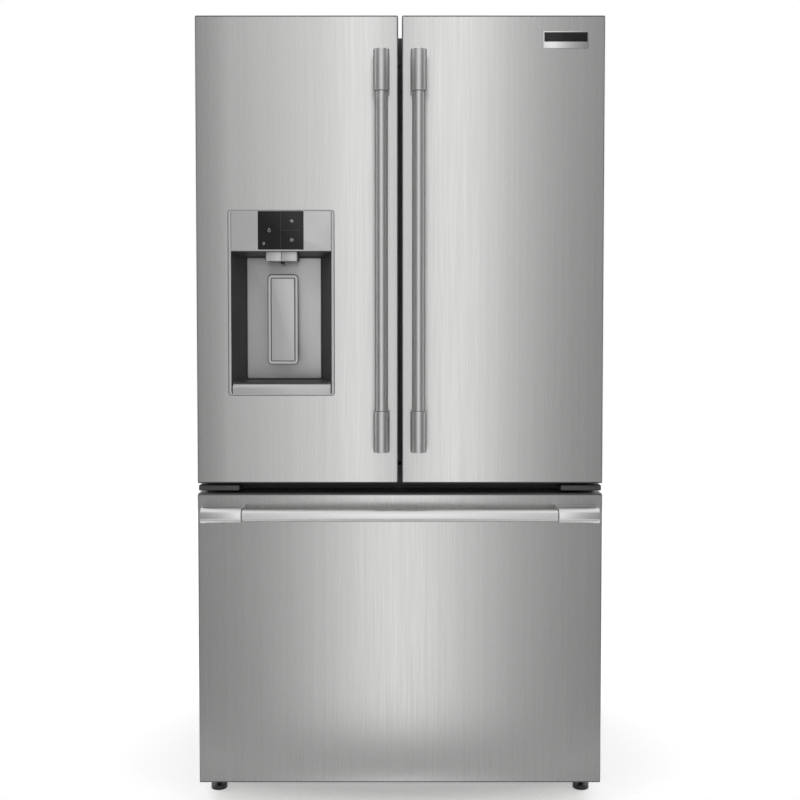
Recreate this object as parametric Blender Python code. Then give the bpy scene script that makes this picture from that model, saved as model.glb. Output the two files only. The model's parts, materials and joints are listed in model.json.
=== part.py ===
"""French door refrigerator: two upper doors, a bottom freezer drawer and a water
and ice dispenser in the left door.  Metres, +Z up, the doors face -Y.  The origin
is on the floor under the middle of the overall box."""

from math import cos, pi, sin

import bmesh
import bpy
from mathutils import Matrix, Vector

# ---- driving dimensions, metres ---------------------------------------------
WIDTH = 0.905            # across the two doors
DOOR_HEIGHT = 1.034      # upper doors
DRAWER_HEIGHT = 0.654    # freezer drawer front
TOE_SPACE = 0.064        # floor to the drawer's lower edge
DRAWER_GAP = 0.024       # between the drawer and the upper doors
DOOR_GAP = 0.008         # between the two upper doors
DOOR_THICK = 0.077
SEAL_GAP = 0.013         # door back to case front
CASE_DEPTH = 0.644
HANDLE_STANDOFF = 0.0455  # door face to the handle's axis
TUBE_RADIUS = 0.014
CAP_RADIUS = 0.0175
CAP_LENGTH = 0.090

# walls, clearances and rounding
GAP = 0.0003             # between pieces that touch
BITE = 0.0005            # how deep joined shapes run into each other
OVER = 0.010             # how far a cut runs past the surface it opens
SHEET = 0.0012           # steel sheet
LINER = 0.0025           # moulded plastic liner
PLATE = 0.003            # hinge and bracket plate
ROUND_SIDES = 24
PIN_SIDES = 12

# case
CASE_SETBACK = 0.003     # case side behind the door's side
CASE_DROP = 0.027        # case top below the door top
CASE_BOTTOM = 0.052
FLANGE = 0.030           # steel front flange of the case
WALL = 0.0495            # insulated side wall
TOP_WALL = 0.055
BACK_WALL = 0.075
FLOOR_WALL = 0.048
MULLION_UP = 0.035       # fridge floor above the middle of the drawer gap
MULLION_DOWN = 0.040     # freezer ceiling below it
LIP = 0.018              # liner flange below the fridge and freezer floors
CEILING_LIP = 0.012      # liner flange above the freezer ceiling
MACHINE_DEPTH = 0.215
MACHINE_HEIGHT = 0.210
STEP_WALL = 0.045        # insulation round the machine compartment
EVAPORATOR_DEPTH = 0.062

# ---- places worked out from them --------------------------------------------
HALF_WIDTH = WIDTH / 2
HANDLE_REACH = HANDLE_STANDOFF + CAP_RADIUS
TOTAL_DEPTH = HANDLE_REACH + DOOR_THICK + SEAL_GAP + CASE_DEPTH
DOOR_FRONT = HANDLE_REACH - TOTAL_DEPTH / 2
DOOR_BACK = DOOR_FRONT + DOOR_THICK
CASE_FRONT = DOOR_BACK + SEAL_GAP
CASE_BACK = CASE_FRONT + CASE_DEPTH

DRAWER_BOTTOM = TOE_SPACE
DRAWER_TOP = DRAWER_BOTTOM + DRAWER_HEIGHT
DOOR_BOTTOM = DRAWER_TOP + DRAWER_GAP
DOOR_TOP = DOOR_BOTTOM + DOOR_HEIGHT
CASE_TOP = DOOR_TOP - CASE_DROP
CASE_HALF = HALF_WIDTH - CASE_SETBACK
MULLION = DRAWER_TOP + DRAWER_GAP / 2

ROOM_HALF = CASE_HALF - WALL             # half-width of both compartments
FRIDGE_TOP = CASE_TOP - TOP_WALL
FRIDGE_FLOOR = MULLION + MULLION_UP
FREEZER_TOP = MULLION - MULLION_DOWN
FREEZER_FLOOR = CASE_BOTTOM + FLOOR_WALL
ROOM_BACK = CASE_BACK - BACK_WALL
MACHINE_TOP = CASE_BOTTOM + MACHINE_HEIGHT
MACHINE_FRONT = CASE_BACK - MACHINE_DEPTH
STEP_TOP = MACHINE_TOP + STEP_WALL
STEP_FRONT = MACHINE_FRONT - STEP_WALL
COIL_WALL = ROOM_BACK - EVAPORATOR_DEPTH   # front of the evaporator cover
REAR_SHEET = CASE_BACK - SHEET

LINER_HALF = CASE_HALF - FLANGE - GAP      # outer edge of the liner flanges
MULLION_LOW = FREEZER_TOP + CEILING_LIP + GAP
MULLION_HIGH = FRIDGE_FLOOR - LIP - GAP

# door hinges
HINGE_INSET = 0.014      # hinge axis in from the door's side
HINGE_FORWARD = 0.025    # hinge axis in front of the case
HINGE_X = HALF_WIDTH - HINGE_INSET
HINGE_Y = CASE_FRONT - HINGE_FORWARD
PIN_RADIUS = 0.004
PIN_CLEARANCE = 0.0004
PIN_DEPTH = 0.015        # how far a pin goes into its door
EAR_WIDTH = 0.062
EAR_Z = DRAWER_TOP + 0.0095

# door backs
GASKET_INSET = 0.016
GASKET_WIDTH = 0.016
DYKE_CLEARANCE = 0.006   # raised inner panel to the opening's edge
DYKE_INNER = 0.058       # raised inner panel to the middle line
DYKE_HEIGHT = 0.035
DYKE_WALL = 0.022
BIN_REACH = 0.110        # front to back
BIN_HEIGHT = 0.100
BIN_WALL = 0.0025

# ---- modelling helpers ------------------------------------------------------


def clear_scene():
    """Start from an empty scene."""
    for old in list(bpy.data.objects):
        bpy.data.objects.remove(old, do_unlink=True)


def finish(name, colour, roughness, metallic=0.0, alpha=1.0):
    """A plain material for one sub-part."""
    made = bpy.data.materials.new(name)
    made.use_nodes = True
    shader = made.node_tree.nodes["Principled BSDF"]
    shader.inputs["Base Color"].default_value = (*colour, 1.0)
    shader.inputs["Roughness"].default_value = roughness
    shader.inputs["Metallic"].default_value = metallic
    shader.inputs["Alpha"].default_value = alpha
    return made


FINISHES = {
    "stainless": ((0.60, 0.60, 0.60), 0.32, 1.0),
    "handle_steel": ((0.62, 0.62, 0.61), 0.25, 1.0),
    "case_paint": ((0.30, 0.31, 0.32), 0.45, 0.3),
    "galvanized": ((0.55, 0.56, 0.57), 0.45, 1.0),
    "zinc_plate": ((0.50, 0.50, 0.50), 0.40, 1.0),
    "black_steel": ((0.02, 0.02, 0.02), 0.45, 0.2),
    "white_liner": ((0.86, 0.87, 0.88), 0.35, 0.0),
    "foam": ((0.80, 0.72, 0.50), 0.90, 0.0),
    "grey_rubber": ((0.22, 0.22, 0.23), 0.70, 0.0),
    "dark_plastic": ((0.05, 0.05, 0.055), 0.40, 0.0),
    "silver_plastic": ((0.48, 0.48, 0.48), 0.35, 0.4),
    "clear_plastic": ((0.85, 0.90, 0.93), 0.08, 0.0),
    "shelf_glass": ((0.80, 0.90, 0.88), 0.05, 0.0),
    "white_wire": ((0.88, 0.89, 0.90), 0.35, 0.0),
    "copper": ((0.72, 0.42, 0.26), 0.30, 1.0),
    "aluminium": ((0.75, 0.76, 0.77), 0.35, 1.0),
}


def box(low, high):
    """A block between two corners."""
    def make(mesh):
        centre = (Vector(low) + Vector(high)) / 2
        size = Vector(high) - Vector(low)
        place = Matrix.Translation(centre) @ Matrix.Diagonal((*size, 1.0))
        bmesh.ops.create_cube(mesh, size=1.0, matrix=place)
    return make


def rod(start, end, radius, sides=ROUND_SIDES, end_radius=None):
    """A round bar, or a cone, between two points."""
    def make(mesh):
        first = Vector(start)
        run = Vector(end) - first
        turn = Vector((0, 0, 1)).rotation_difference(run).to_matrix().to_4x4()
        far = radius if end_radius is None else end_radius
        bmesh.ops.create_cone(
            mesh, cap_ends=True, segments=sides, radius1=radius, radius2=far,
            depth=run.length, matrix=Matrix.Translation(first + run / 2) @ turn)
    return make


AXES = {"X": (1, 2, 0), "Y": (2, 0, 1), "Z": (0, 1, 2)}


def prism(outline, axis, low, high):
    """An outline, given counter-clockwise in the two other axes, drawn out along
    one axis.  For X the outline is (y, z), for Y it is (z, x), for Z it is (x, y)."""
    first, second, along = AXES[axis]

    def make(mesh):
        ring = []
        for point in outline:
            place = [0.0, 0.0, 0.0]
            place[first], place[second], place[along] = point[0], point[1], low
            ring.append(mesh.verts.new(place))
        face = mesh.faces.new(ring)
        grown = bmesh.ops.extrude_face_region(mesh, geom=[face])["geom"]
        lift = [0.0, 0.0, 0.0]
        lift[along] = high - low
        moved = [item for item in grown if isinstance(item, bmesh.types.BMVert)]
        bmesh.ops.translate(mesh, verts=moved, vec=lift)
        bmesh.ops.recalc_face_normals(mesh, faces=mesh.faces[:])
    return make


def wedge(low_ring, high_ring):
    """A closed shape between two rings of the same number of points."""
    def make(mesh):
        rings = []
        for points in (low_ring, high_ring):
            verts = [mesh.verts.new(point) for point in points]
            face = mesh.faces.new(verts)
            rings.append((verts, face))
        edges = []
        for _, face in rings:
            edges.extend(face.edges)
        bmesh.ops.bridge_loops(mesh, edges=edges)
        bmesh.ops.recalc_face_normals(mesh, faces=mesh.faces[:])
    return make


def mesh_object(name, shape):
    """One object from one shape, with nothing but its mesh."""
    shell = bmesh.new()
    shape(shell)
    data = bpy.data.meshes.new(name)
    shell.to_mesh(data)
    shell.free()
    made = bpy.data.objects.new(name, data)
    bpy.context.scene.collection.objects.link(made)
    return made


def tool(name, shape):
    """A hidden object that a Boolean modifier reads."""
    made = mesh_object(name, shape)
    made.hide_render = True
    made.display_type = "WIRE"
    return made


def piece(name, look, shapes, cuts=(), pivot=None):
    """A sub-part: shapes joined into one body, then cut, riding on a pivot."""
    made = mesh_object(name, shapes[0])
    steps = [("UNION", shape) for shape in shapes[1:]]
    steps += [("DIFFERENCE", shape) for shape in cuts]
    for number, (operation, shape) in enumerate(steps):
        change = made.modifiers.new(f"{operation.lower()}_{number}", "BOOLEAN")
        change.operation = operation
        change.solver = "EXACT"
        change.object = tool(f"{name}.{operation.lower()}_{number}", shape)
    made.data.materials.append(finish(name, *FINISHES[look]))
    if pivot is not None:
        made.parent = pivot
        made.matrix_parent_inverse = Matrix.Translation(pivot.location).inverted()
    return made


def pivot(name, place, parent=None):
    """An empty on a joint's axis, which the moving pieces ride on."""
    made = bpy.data.objects.new(name, None)
    made.location = place
    made.empty_display_size = 0.05
    bpy.context.scene.collection.objects.link(made)
    if parent is not None:
        made.parent = parent
        made.matrix_parent_inverse = Matrix.Translation(parent.location).inverted()
    return made


def smooth(made):
    """Round pieces are shaded smooth up to their sharp edges."""
    made.data.shade_smooth()
    made.data.set_sharp_from_angle(angle=pi / 5)


# ---- cabinet ----------------------------------------------------------------


def cabinet():
    """The steel wrapper, its rear panel, the insulation and the two liners."""
    back = REAR_SHEET - GAP
    piece("cabinet_shell", "case_paint",
          [box((-CASE_HALF, CASE_FRONT, CASE_BOTTOM), (CASE_HALF, back, CASE_TOP))],
          [box((SHEET - CASE_HALF, CASE_FRONT + SHEET, CASE_BOTTOM - OVER),
               (CASE_HALF - SHEET, back + OVER, CASE_TOP - SHEET)),
           box((FLANGE - CASE_HALF, CASE_FRONT - OVER, CASE_BOTTOM + FLANGE),
               (CASE_HALF - FLANGE, back + OVER, CASE_TOP - FLANGE))])
    piece("rear_panel", "galvanized",
          [box((-CASE_HALF, REAR_SHEET, MACHINE_TOP + GAP),
               (CASE_HALF, CASE_BACK, CASE_TOP))])
    skin = SHEET + GAP
    room = ROOM_HALF + LINER + GAP
    around = LINER + GAP
    piece("cabinet_foam", "foam",
          [box((skin - CASE_HALF, CASE_FRONT + around, CASE_BOTTOM),
               (CASE_HALF - skin, REAR_SHEET - GAP, CASE_TOP - skin))],
          [box((-room, CASE_FRONT - OVER, FRIDGE_FLOOR - around),
               (room, ROOM_BACK + around, FRIDGE_TOP + around)),
           box((-room, CASE_FRONT - OVER, STEP_TOP - around),
               (room, ROOM_BACK + around, FREEZER_TOP + around)),
           box((-room, CASE_FRONT - OVER, FREEZER_FLOOR - around),
               (room, STEP_FRONT + around, STEP_TOP)),
           box((-CASE_HALF, MACHINE_FRONT, CASE_BOTTOM - OVER),
               (CASE_HALF, CASE_BACK, MACHINE_TOP))])
    fridge_liner()
    freezer_liner()
    mullion_rail()


def shelf_ledges(levels, depth):
    """Pairs of moulded ledges on the side walls of the fridge."""
    ledges = []
    for level in levels:
        for side in (-1, 1):
            inner = side * (ROOM_HALF - LEDGE_WIDTH)
            outer = side * (ROOM_HALF + BITE)
            ledges.append(box((min(inner, outer), SHELF_FRONT, level - LEDGE_HEIGHT),
                              (max(inner, outer), SHELF_FRONT + depth, level)))
    return ledges


def fridge_liner():
    """The fridge compartment's moulded wall, with shelf ledges."""
    outer = ROOM_HALF + LINER
    levels = (UPPER_SHELF_Z, LOWER_SHELF_Z, CRISPER_TOP)
    piece("fridge_liner", "white_liner",
          [box((-outer, CASE_FRONT, FRIDGE_FLOOR - LINER),
               (outer, ROOM_BACK + LINER, FRIDGE_TOP + LINER)),
           box((-LINER_HALF, CASE_FRONT, FRIDGE_FLOOR - LIP),
               (LINER_HALF, CASE_FRONT + LINER, CASE_TOP - FLANGE - GAP))],
          [box((-ROOM_HALF, CASE_FRONT - OVER, FRIDGE_FLOOR),
               (ROOM_HALF, ROOM_BACK, FRIDGE_TOP))])
    for number, ledge in enumerate(shelf_ledges(levels, SHELF_DEPTH)):
        join("fridge_liner", f"ledge_{number}", ledge)


def join(name, label, shape):
    """Add one more shape to a sub-part that is already cut."""
    made = bpy.data.objects[name]
    change = made.modifiers.new(label, "BOOLEAN")
    change.operation = "UNION"
    change.solver = "EXACT"
    change.object = tool(f"{name}.{label}", shape)


def freezer_liner():
    """The freezer's moulded wall, stepped over the machine compartment."""
    outer = ROOM_HALF + LINER
    piece("freezer_liner", "white_liner",
          [box((-outer, CASE_FRONT, STEP_TOP - LINER),
               (outer, ROOM_BACK + LINER, FREEZER_TOP + LINER)),
           box((-outer, CASE_FRONT, FREEZER_FLOOR - LINER),
               (outer, STEP_FRONT + LINER, STEP_TOP + BITE)),
           box((-LINER_HALF, CASE_FRONT, CASE_BOTTOM + FLANGE + GAP),
               (LINER_HALF, CASE_FRONT + LINER, FREEZER_TOP + CEILING_LIP))],
          [box((-ROOM_HALF, CASE_FRONT - OVER, STEP_TOP),
               (ROOM_HALF, ROOM_BACK, FREEZER_TOP)),
           box((-ROOM_HALF, CASE_FRONT - OVER, FREEZER_FLOOR),
               (ROOM_HALF, STEP_FRONT, STEP_TOP + BITE))])
    ledge_low = UPPER_BASKET_Z - LEDGE_HEIGHT
    for side in (-1, 1):
        inner = side * (ROOM_HALF - LEDGE_WIDTH)
        outer_edge = side * (ROOM_HALF + BITE)
        join("freezer_liner", f"ledge_{side}",
             box((min(inner, outer_edge), CASE_FRONT + 0.010, ledge_low),
                 (max(inner, outer_edge), COIL_WALL - 2 * LINER, UPPER_BASKET_Z)))


def mullion_rail():
    """The steel rail between the compartments, with the centre hinge ears."""
    shapes = [box((-LINER_HALF, CASE_FRONT, MULLION_LOW),
                  (LINER_HALF, CASE_FRONT + LINER, MULLION_HIGH))]
    for side in (-1, 1):
        near = side * (CASE_HALF - EAR_WIDTH)
        root = side * (LINER_HALF - BITE)
        far = side * CASE_HALF
        front = HINGE_Y - 2.5 * PIN_RADIUS
        shapes.append(box((min(near, root), CASE_FRONT - PLATE, EAR_Z - PLATE),
                          (max(near, root), CASE_FRONT + BITE, MULLION_HIGH - PLATE)))
        shapes.append(box((min(near, far), front, EAR_Z),
                          (max(near, far), CASE_FRONT - GAP, EAR_Z + PLATE)))
        foot = (side * HINGE_X, HINGE_Y, EAR_Z + BITE)
        shapes.append(rod(foot, (foot[0], foot[1], DOOR_BOTTOM + PIN_DEPTH),
                          PIN_RADIUS, PIN_SIDES))
        shapes.append(rod(foot, (foot[0], foot[1], DOOR_BOTTOM - GAP),
                          2 * PIN_RADIUS, PIN_SIDES))
    piece("mullion_rail", "zinc_plate", shapes)


# ---- base, machine compartment and cooling ----------------------------------

BASE_SETBACK = 0.022     # kick panel behind the case front
BASE_LOW = 0.022
BASE_HALF = CASE_HALF - 0.006
BASE_FRONT = CASE_FRONT + BASE_SETBACK
BASE_BACK = CASE_BACK - 0.006
BASE_TOP = CASE_BOTTOM - GAP
RAIL_WIDTH = 0.045
PAN = 0.003
LEG_X = CASE_HALF - 0.0215
LEG_Y = CASE_FRONT + 0.034
LEG_FOOT_RADIUS = 0.019
LEG_FOOT_HEIGHT = 0.010
LEG_STEM_RADIUS = 0.006
LEG_CLEARANCE = 0.0005
ROLLER_RADIUS = 0.020
ROLLER_WIDTH = 0.024
ROLLER_X = BASE_HALF - RAIL_WIDTH / 2
ROLLER_Y = CASE_BACK - 0.075
ROLLER_SLOT = 0.005      # clearance round a roller
AXLE_RADIUS = 0.004

COMPRESSOR_X = 0.230
COMPRESSOR_RADIUS = 0.076
COMPRESSOR_HEIGHT = 0.165
COMPRESSOR_Y = (MACHINE_FRONT + REAR_SHEET) / 2
CONDENSER_TUBE = 0.004   # tube radii
EVAPORATOR_TUBE = 0.005
TUBE_FLAT = cos(pi / 6)  # a six-sided tube's flat, as a share of its radius
FAN_X = 0.020
FAN_RADIUS = 0.070
FAN_Z = CASE_BOTTOM + 0.105
FAN_Y = COMPRESSOR_Y
HUB_RADIUS = 0.018
SHAFT_RADIUS = 0.003
SHAFT_CLEARANCE = 0.0004


def base_frame():
    """The chassis: side rails, front and rear bars, the machine pan, the forks
    that hold the rollers, and the condenser fan's motor on its post."""
    side_in = BASE_HALF - RAIL_WIDTH
    pan_front = MACHINE_FRONT + GAP
    shapes = [box((-BASE_HALF, BASE_FRONT, BASE_LOW), (BASE_HALF, BASE_BACK, BASE_TOP))]
    shapes.append(box((-0.006, FAN_Y - 0.020, BASE_TOP - PAN),
                      (0.000, FAN_Y + 0.020, FAN_Z)))
    shapes.append(rod((-0.034, FAN_Y, FAN_Z), (0.000, FAN_Y, FAN_Z), 0.022))
    shapes.append(rod((-BITE, FAN_Y, FAN_Z), (FAN_X + 0.014, FAN_Y, FAN_Z),
                      SHAFT_RADIUS, PIN_SIDES))
    cuts = [box((-side_in, BASE_FRONT + RAIL_WIDTH, BASE_LOW - OVER),
                (side_in, pan_front, BASE_TOP + OVER)),
            box((-side_in, pan_front + PAN, BASE_LOW - OVER),
                (side_in, BASE_BACK - PAN, BASE_TOP - PAN))]
    for side in (-1, 1):
        stem = (side * LEG_X, LEG_Y)
        cuts.append(rod((*stem, BASE_LOW - OVER), (*stem, BASE_TOP + OVER),
                        LEG_STEM_RADIUS + LEG_CLEARANCE, PIN_SIDES))
        half = ROLLER_WIDTH / 2 + GAP
        long = ROLLER_RADIUS + ROLLER_SLOT
        middle = side * ROLLER_X
        cuts.append(box((middle - half, ROLLER_Y - long, BASE_LOW - OVER),
                        (middle + half, ROLLER_Y + long, BASE_TOP + OVER)))
    piece("base_frame", "galvanized", shapes, cuts)
    for side in (-1, 1):
        middle = side * ROLLER_X
        half = ROLLER_WIDTH / 2 + 2 * BITE
        join("base_frame", f"axle_{side}",
             rod((middle - half, ROLLER_Y, ROLLER_RADIUS),
                 (middle + half, ROLLER_Y, ROLLER_RADIUS), AXLE_RADIUS, PIN_SIDES))


def fan(name, centre, axis, radius, pivot_object, width=0.020, blades=5):
    """An axial fan: a bored hub with flat blades set at an angle."""
    middle = Vector(centre)
    along = Vector(axis)
    across = Vector((0, 0, 1))
    half = along * width / 2
    bore = SHAFT_RADIUS + SHAFT_CLEARANCE
    shapes = [rod(middle - half, middle + half, HUB_RADIUS, PIN_SIDES)]
    for number in range(blades):
        spin = Matrix.Rotation(2 * pi * number / blades, 3, along)
        side = spin @ across.cross(along)
        out = spin @ across
        pitch = (side * 0.016 + along * 0.006)
        root = middle + out * (HUB_RADIUS - 0.003)
        tip = middle + out * radius
        thick = along * 0.0008
        shapes.append(wedge([root - pitch * 0.6 - thick, root + pitch * 0.6 - thick,
                             root + pitch * 0.6 + thick, root - pitch * 0.6 + thick],
                            [tip - pitch - thick, tip + pitch - thick,
                             tip + pitch + thick, tip - pitch + thick]))
    cuts = [rod(middle - 2 * half, middle + 2 * half, bore, PIN_SIDES)]
    piece(name, "dark_plastic", shapes, cuts, pivot_object)


def serpentine(name, look, rows, pitch, half_length, radius, place):
    """A bent cooling tube: straight rows along X joined by round bends."""
    curve = bpy.data.curves.new(name, "CURVE")
    curve.dimensions = "3D"
    curve.bevel_depth = radius
    curve.bevel_resolution = 1
    curve.use_fill_caps = True
    points = []
    for row in range(rows):
        side = 1 if row % 2 == 0 else -1
        height = row * pitch
        points.append((-side * half_length, 0.0, height))
        points.append((side * half_length, 0.0, height))
        if row < rows - 1:
            for step in range(1, 4):
                angle = -pi / 2 + pi * step / 4
                points.append((side * (half_length + pitch / 2 * cos(angle)), 0.0,
                               height + pitch / 2 + pitch / 2 * sin(angle)))
    spline = curve.splines.new("POLY")
    spline.points.add(len(points) - 1)
    for node, point in zip(spline.points, points):
        node.co = (point[0] + place[0], point[1] + place[1], point[2] + place[2], 1.0)
    made = bpy.data.objects.new(name, curve)
    curve.materials.append(finish(name, *FINISHES[look]))
    bpy.context.scene.collection.objects.link(made)


def machine_compartment():
    """What stands behind the freezer: compressor, condenser, fan and cover."""
    low = BASE_TOP + GAP
    middle = (COMPRESSOR_X, COMPRESSOR_Y)
    dome = low + COMPRESSOR_HEIGHT
    waist = dome - 0.040
    piece("compressor", "black_steel",
          [rod((*middle, low + 0.010), (*middle, waist), COMPRESSOR_RADIUS),
           rod((*middle, waist - BITE), (*middle, dome), COMPRESSOR_RADIUS,
               end_radius=0.6 * COMPRESSOR_RADIUS),
           box((COMPRESSOR_X - 0.095, COMPRESSOR_Y - 0.055, low),
               (COMPRESSOR_X + 0.095, COMPRESSOR_Y + 0.055, low + 0.014))])
    serpentine("condenser_coil", "copper", 6, 0.026, 0.115, CONDENSER_TUBE,
               (-0.240, COMPRESSOR_Y, low + CONDENSER_TUBE * TUBE_FLAT))
    spin = pivot("condenser_fan_axis", (FAN_X, FAN_Y, FAN_Z))
    fan("condenser_fan", spin.location, (1, 0, 0), FAN_RADIUS, spin)
    cover_top = MACHINE_TOP - GAP
    cuts = []
    slot_pitch = 0.022
    slots = 7
    for row in range(slots):
        height = CASE_BOTTOM + 0.040 + row * slot_pitch
        cuts.append(box((-0.360, REAR_SHEET - OVER, height),
                        (-0.060, CASE_BACK + OVER, height + 0.007)))
    piece("compressor_cover", "galvanized",
          [box((-CASE_HALF, REAR_SHEET, CASE_BOTTOM), (CASE_HALF, CASE_BACK, cover_top))],
          cuts)


def freezer_cooling():
    """The evaporator behind the freezer, its cover and its fan."""
    serpentine("evaporator_coil", "aluminium", 6, 0.036, 0.250, EVAPORATOR_TUBE,
               (0.0, ROOM_BACK - EVAPORATOR_TUBE - GAP, STEP_TOP + 0.060))
    fan_z = FREEZER_TOP - 0.090
    centre = (0.0, COIL_WALL - 0.012, fan_z)
    ring_low = COIL_WALL - 0.026
    half = ROOM_HALF - GAP
    grille = FAN_RADIUS + 0.006
    shapes = [box((-half, COIL_WALL, STEP_TOP + GAP), (half, COIL_WALL + LINER,
                                                       FREEZER_TOP - GAP)),
              rod((0, ring_low, fan_z), (0, COIL_WALL + BITE, fan_z), grille + 0.003)]
    cuts = [rod((0, ring_low - OVER, fan_z), (0, COIL_WALL + 2 * OVER, fan_z), grille)]
    for number in range(5):
        height = STEP_TOP + 0.020 + number * 0.012
        cuts.append(box((-0.200, COIL_WALL - OVER, height),
                        (0.200, COIL_WALL + 2 * OVER, height + 0.005)))
    piece("evaporator_cover", "white_liner", shapes, cuts)
    bar = 0.005
    back = COIL_WALL + LINER
    join("evaporator_cover", "bridge",
         box((-grille - 0.002, COIL_WALL + BITE / 2, fan_z - bar),
             (grille + 0.002, back, fan_z + bar)))
    join("evaporator_cover", "motor",
         rod((0, COIL_WALL + BITE, fan_z), (0, back + 0.016, fan_z), 0.016, PIN_SIDES))
    join("evaporator_cover", "shaft",
         rod((0, ring_low + 0.002, fan_z), (0, back, fan_z), SHAFT_RADIUS, PIN_SIDES))
    spin = pivot("evaporator_fan_axis", centre)
    fan("evaporator_fan", centre, (0, -1, 0), FAN_RADIUS, spin, width=0.016)


def legs_and_rollers():
    """Front levelling legs that screw down and rear rollers."""
    for side, label in ((-1, "left"), (1, "right")):
        place = (side * LEG_X, LEG_Y)
        axis = pivot(f"leveling_leg_{label}_axis", (*place, 0.0))
        piece(f"leveling_leg_{label}", "black_steel",
              [rod((*place, 0.0), (*place, LEG_FOOT_HEIGHT), LEG_FOOT_RADIUS),
               rod((*place, LEG_FOOT_HEIGHT - BITE), (*place, BASE_TOP - 0.001),
                   LEG_STEM_RADIUS, PIN_SIDES)], pivot=axis)
        centre = (side * ROLLER_X, ROLLER_Y, ROLLER_RADIUS)
        half = ROLLER_WIDTH / 2
        axle = pivot(f"rear_roller_{label}_axis", centre)
        piece(f"rear_roller_{label}", "dark_plastic",
              [rod((centre[0] - half, centre[1], centre[2]),
                   (centre[0] + half, centre[1], centre[2]), ROLLER_RADIUS)],
              [rod((centre[0] - 2 * half, centre[1], centre[2]),
                   (centre[0] + 2 * half, centre[1], centre[2]),
                   AXLE_RADIUS + SHAFT_CLEARANCE, PIN_SIDES)], pivot=axle)


# ---- hinges -----------------------------------------------------------------

HINGE_FOOT = 0.080       # hinge plate's seat on the case top, front to back
HINGE_NEAR = 0.050       # riser behind the case front
COVER_WALL = 0.002
COVER_RISE = 0.0095      # cover top above the door top
COVER_WIDTH = 0.072
COVER_FRONT = HINGE_Y - 0.013
COVER_BACK = CASE_FRONT + HINGE_NEAR + HINGE_FOOT + 0.006


def across(side, near, far):
    """Lower and higher X of a stretch given outwards from the middle."""
    return min(side * near, side * far), max(side * near, side * far)


def top_hinges():
    """Hinge plates bolted to the case top, each with a pin down into its door."""
    plate_low = DOOR_TOP + BITE
    plate_high = plate_low + PLATE
    riser = CASE_FRONT + HINGE_NEAR
    for side, label in ((-1, "left"), (1, "right")):
        low_x, high_x = across(side, CASE_HALF - 0.060, CASE_HALF - COVER_WALL - 0.001)
        foot = CASE_TOP + GAP
        place = (side * HINGE_X, HINGE_Y)
        piece(f"top_hinge_{label}", "zinc_plate",
              [box((low_x, HINGE_Y - 0.010, plate_low), (high_x, riser, plate_high)),
               box((low_x, riser - PLATE, foot), (high_x, riser + BITE, plate_high)),
               box((low_x, riser - BITE, foot), (high_x, riser + HINGE_FOOT, foot + PLATE)),
               rod((*place, DOOR_TOP - PIN_DEPTH), (*place, plate_high - BITE),
                   PIN_RADIUS, PIN_SIDES)])
        outer_low, outer_high = across(side, CASE_HALF - COVER_WIDTH, CASE_HALF)
        inner_low, inner_high = across(side, CASE_HALF - COVER_WIDTH + COVER_WALL,
                                       CASE_HALF - COVER_WALL)
        top = DOOR_TOP + COVER_RISE
        skirt = DOOR_BACK + HINGE_NEAR
        over_door = DOOR_TOP + BITE
        piece(f"hinge_cover_{label}", "dark_plastic",
              [box((outer_low, COVER_FRONT, over_door), (outer_high, COVER_BACK, top)),
               box((outer_low, skirt, foot), (outer_high, COVER_BACK, top))],
              [box((inner_low, COVER_FRONT + COVER_WALL, CASE_TOP - OVER),
                   (inner_high, COVER_BACK - COVER_WALL, top - COVER_WALL))])


# ---- fridge interior --------------------------------------------------------

SHELF_FRONT = CASE_FRONT + 0.1255
SHELF_DEPTH = ROOM_BACK - GAP - SHELF_FRONT
SHELF_THICK = 0.012
LEDGE_WIDTH = 0.006
LEDGE_HEIGHT = 0.006
CRISPER_HEIGHT = 0.165
CRISPER_TOP = FRIDGE_FLOOR + CRISPER_HEIGHT + 0.012
LOWER_SHELF_Z = CRISPER_TOP + 0.230
UPPER_SHELF_Z = LOWER_SHELF_Z + 0.220
UPPER_BASKET_Z = FREEZER_TOP - 0.030
ICE_WIDTH = 0.200
ICE_HEIGHT = 0.190
ICE_DEPTH = 0.300
ICE_FRONT = CASE_FRONT + 0.0955


def shelf(name, low_x, high_x, level):
    """A glass shelf in a raised plastic frame."""
    back = SHELF_FRONT + SHELF_DEPTH
    rim = 0.010
    pan = 0.004
    piece(name, "shelf_glass",
          [box((low_x, SHELF_FRONT, level + GAP), (high_x, back, level + SHELF_THICK))],
          [box((low_x + rim, SHELF_FRONT + rim, level + SHELF_THICK - pan),
               (high_x - rim, back - rim, level + SHELF_THICK + OVER))])


def fridge_interior():
    """Shelves, crispers and the ice maker."""
    edge = ROOM_HALF - GAP
    split = 0.004
    shelf("shelf_upper_left", -edge, -split, UPPER_SHELF_Z)
    shelf("shelf_upper_right", split, edge, UPPER_SHELF_Z)
    shelf("shelf_lower", -edge, edge, LOWER_SHELF_Z)
    shelf("crisper_shelf", -edge, edge, CRISPER_TOP)
    divider = 0.006
    rail_top = CRISPER_TOP + BITE
    join("crisper_shelf", "divider",
         box((-divider, SHELF_FRONT + 0.004, FRIDGE_FLOOR + GAP),
             (divider, SHELF_FRONT + SHELF_DEPTH, rail_top)))
    for side, label in ((-1, "left"), (1, "right")):
        slide = pivot(f"crisper_{label}_slide", (side * 0.200, SHELF_FRONT, FRIDGE_FLOOR))
        low_x, high_x = across(side, divider + 0.003, ROOM_HALF - LEDGE_WIDTH - 0.002)
        tray(f"crisper_{label}", "clear_plastic", low_x, high_x,
             SHELF_FRONT + 0.006, SHELF_FRONT + SHELF_DEPTH - 0.010,
             FRIDGE_FLOOR + GAP, FRIDGE_FLOOR + CRISPER_HEIGHT, 0.003, slide)
    ice_maker()


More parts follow.
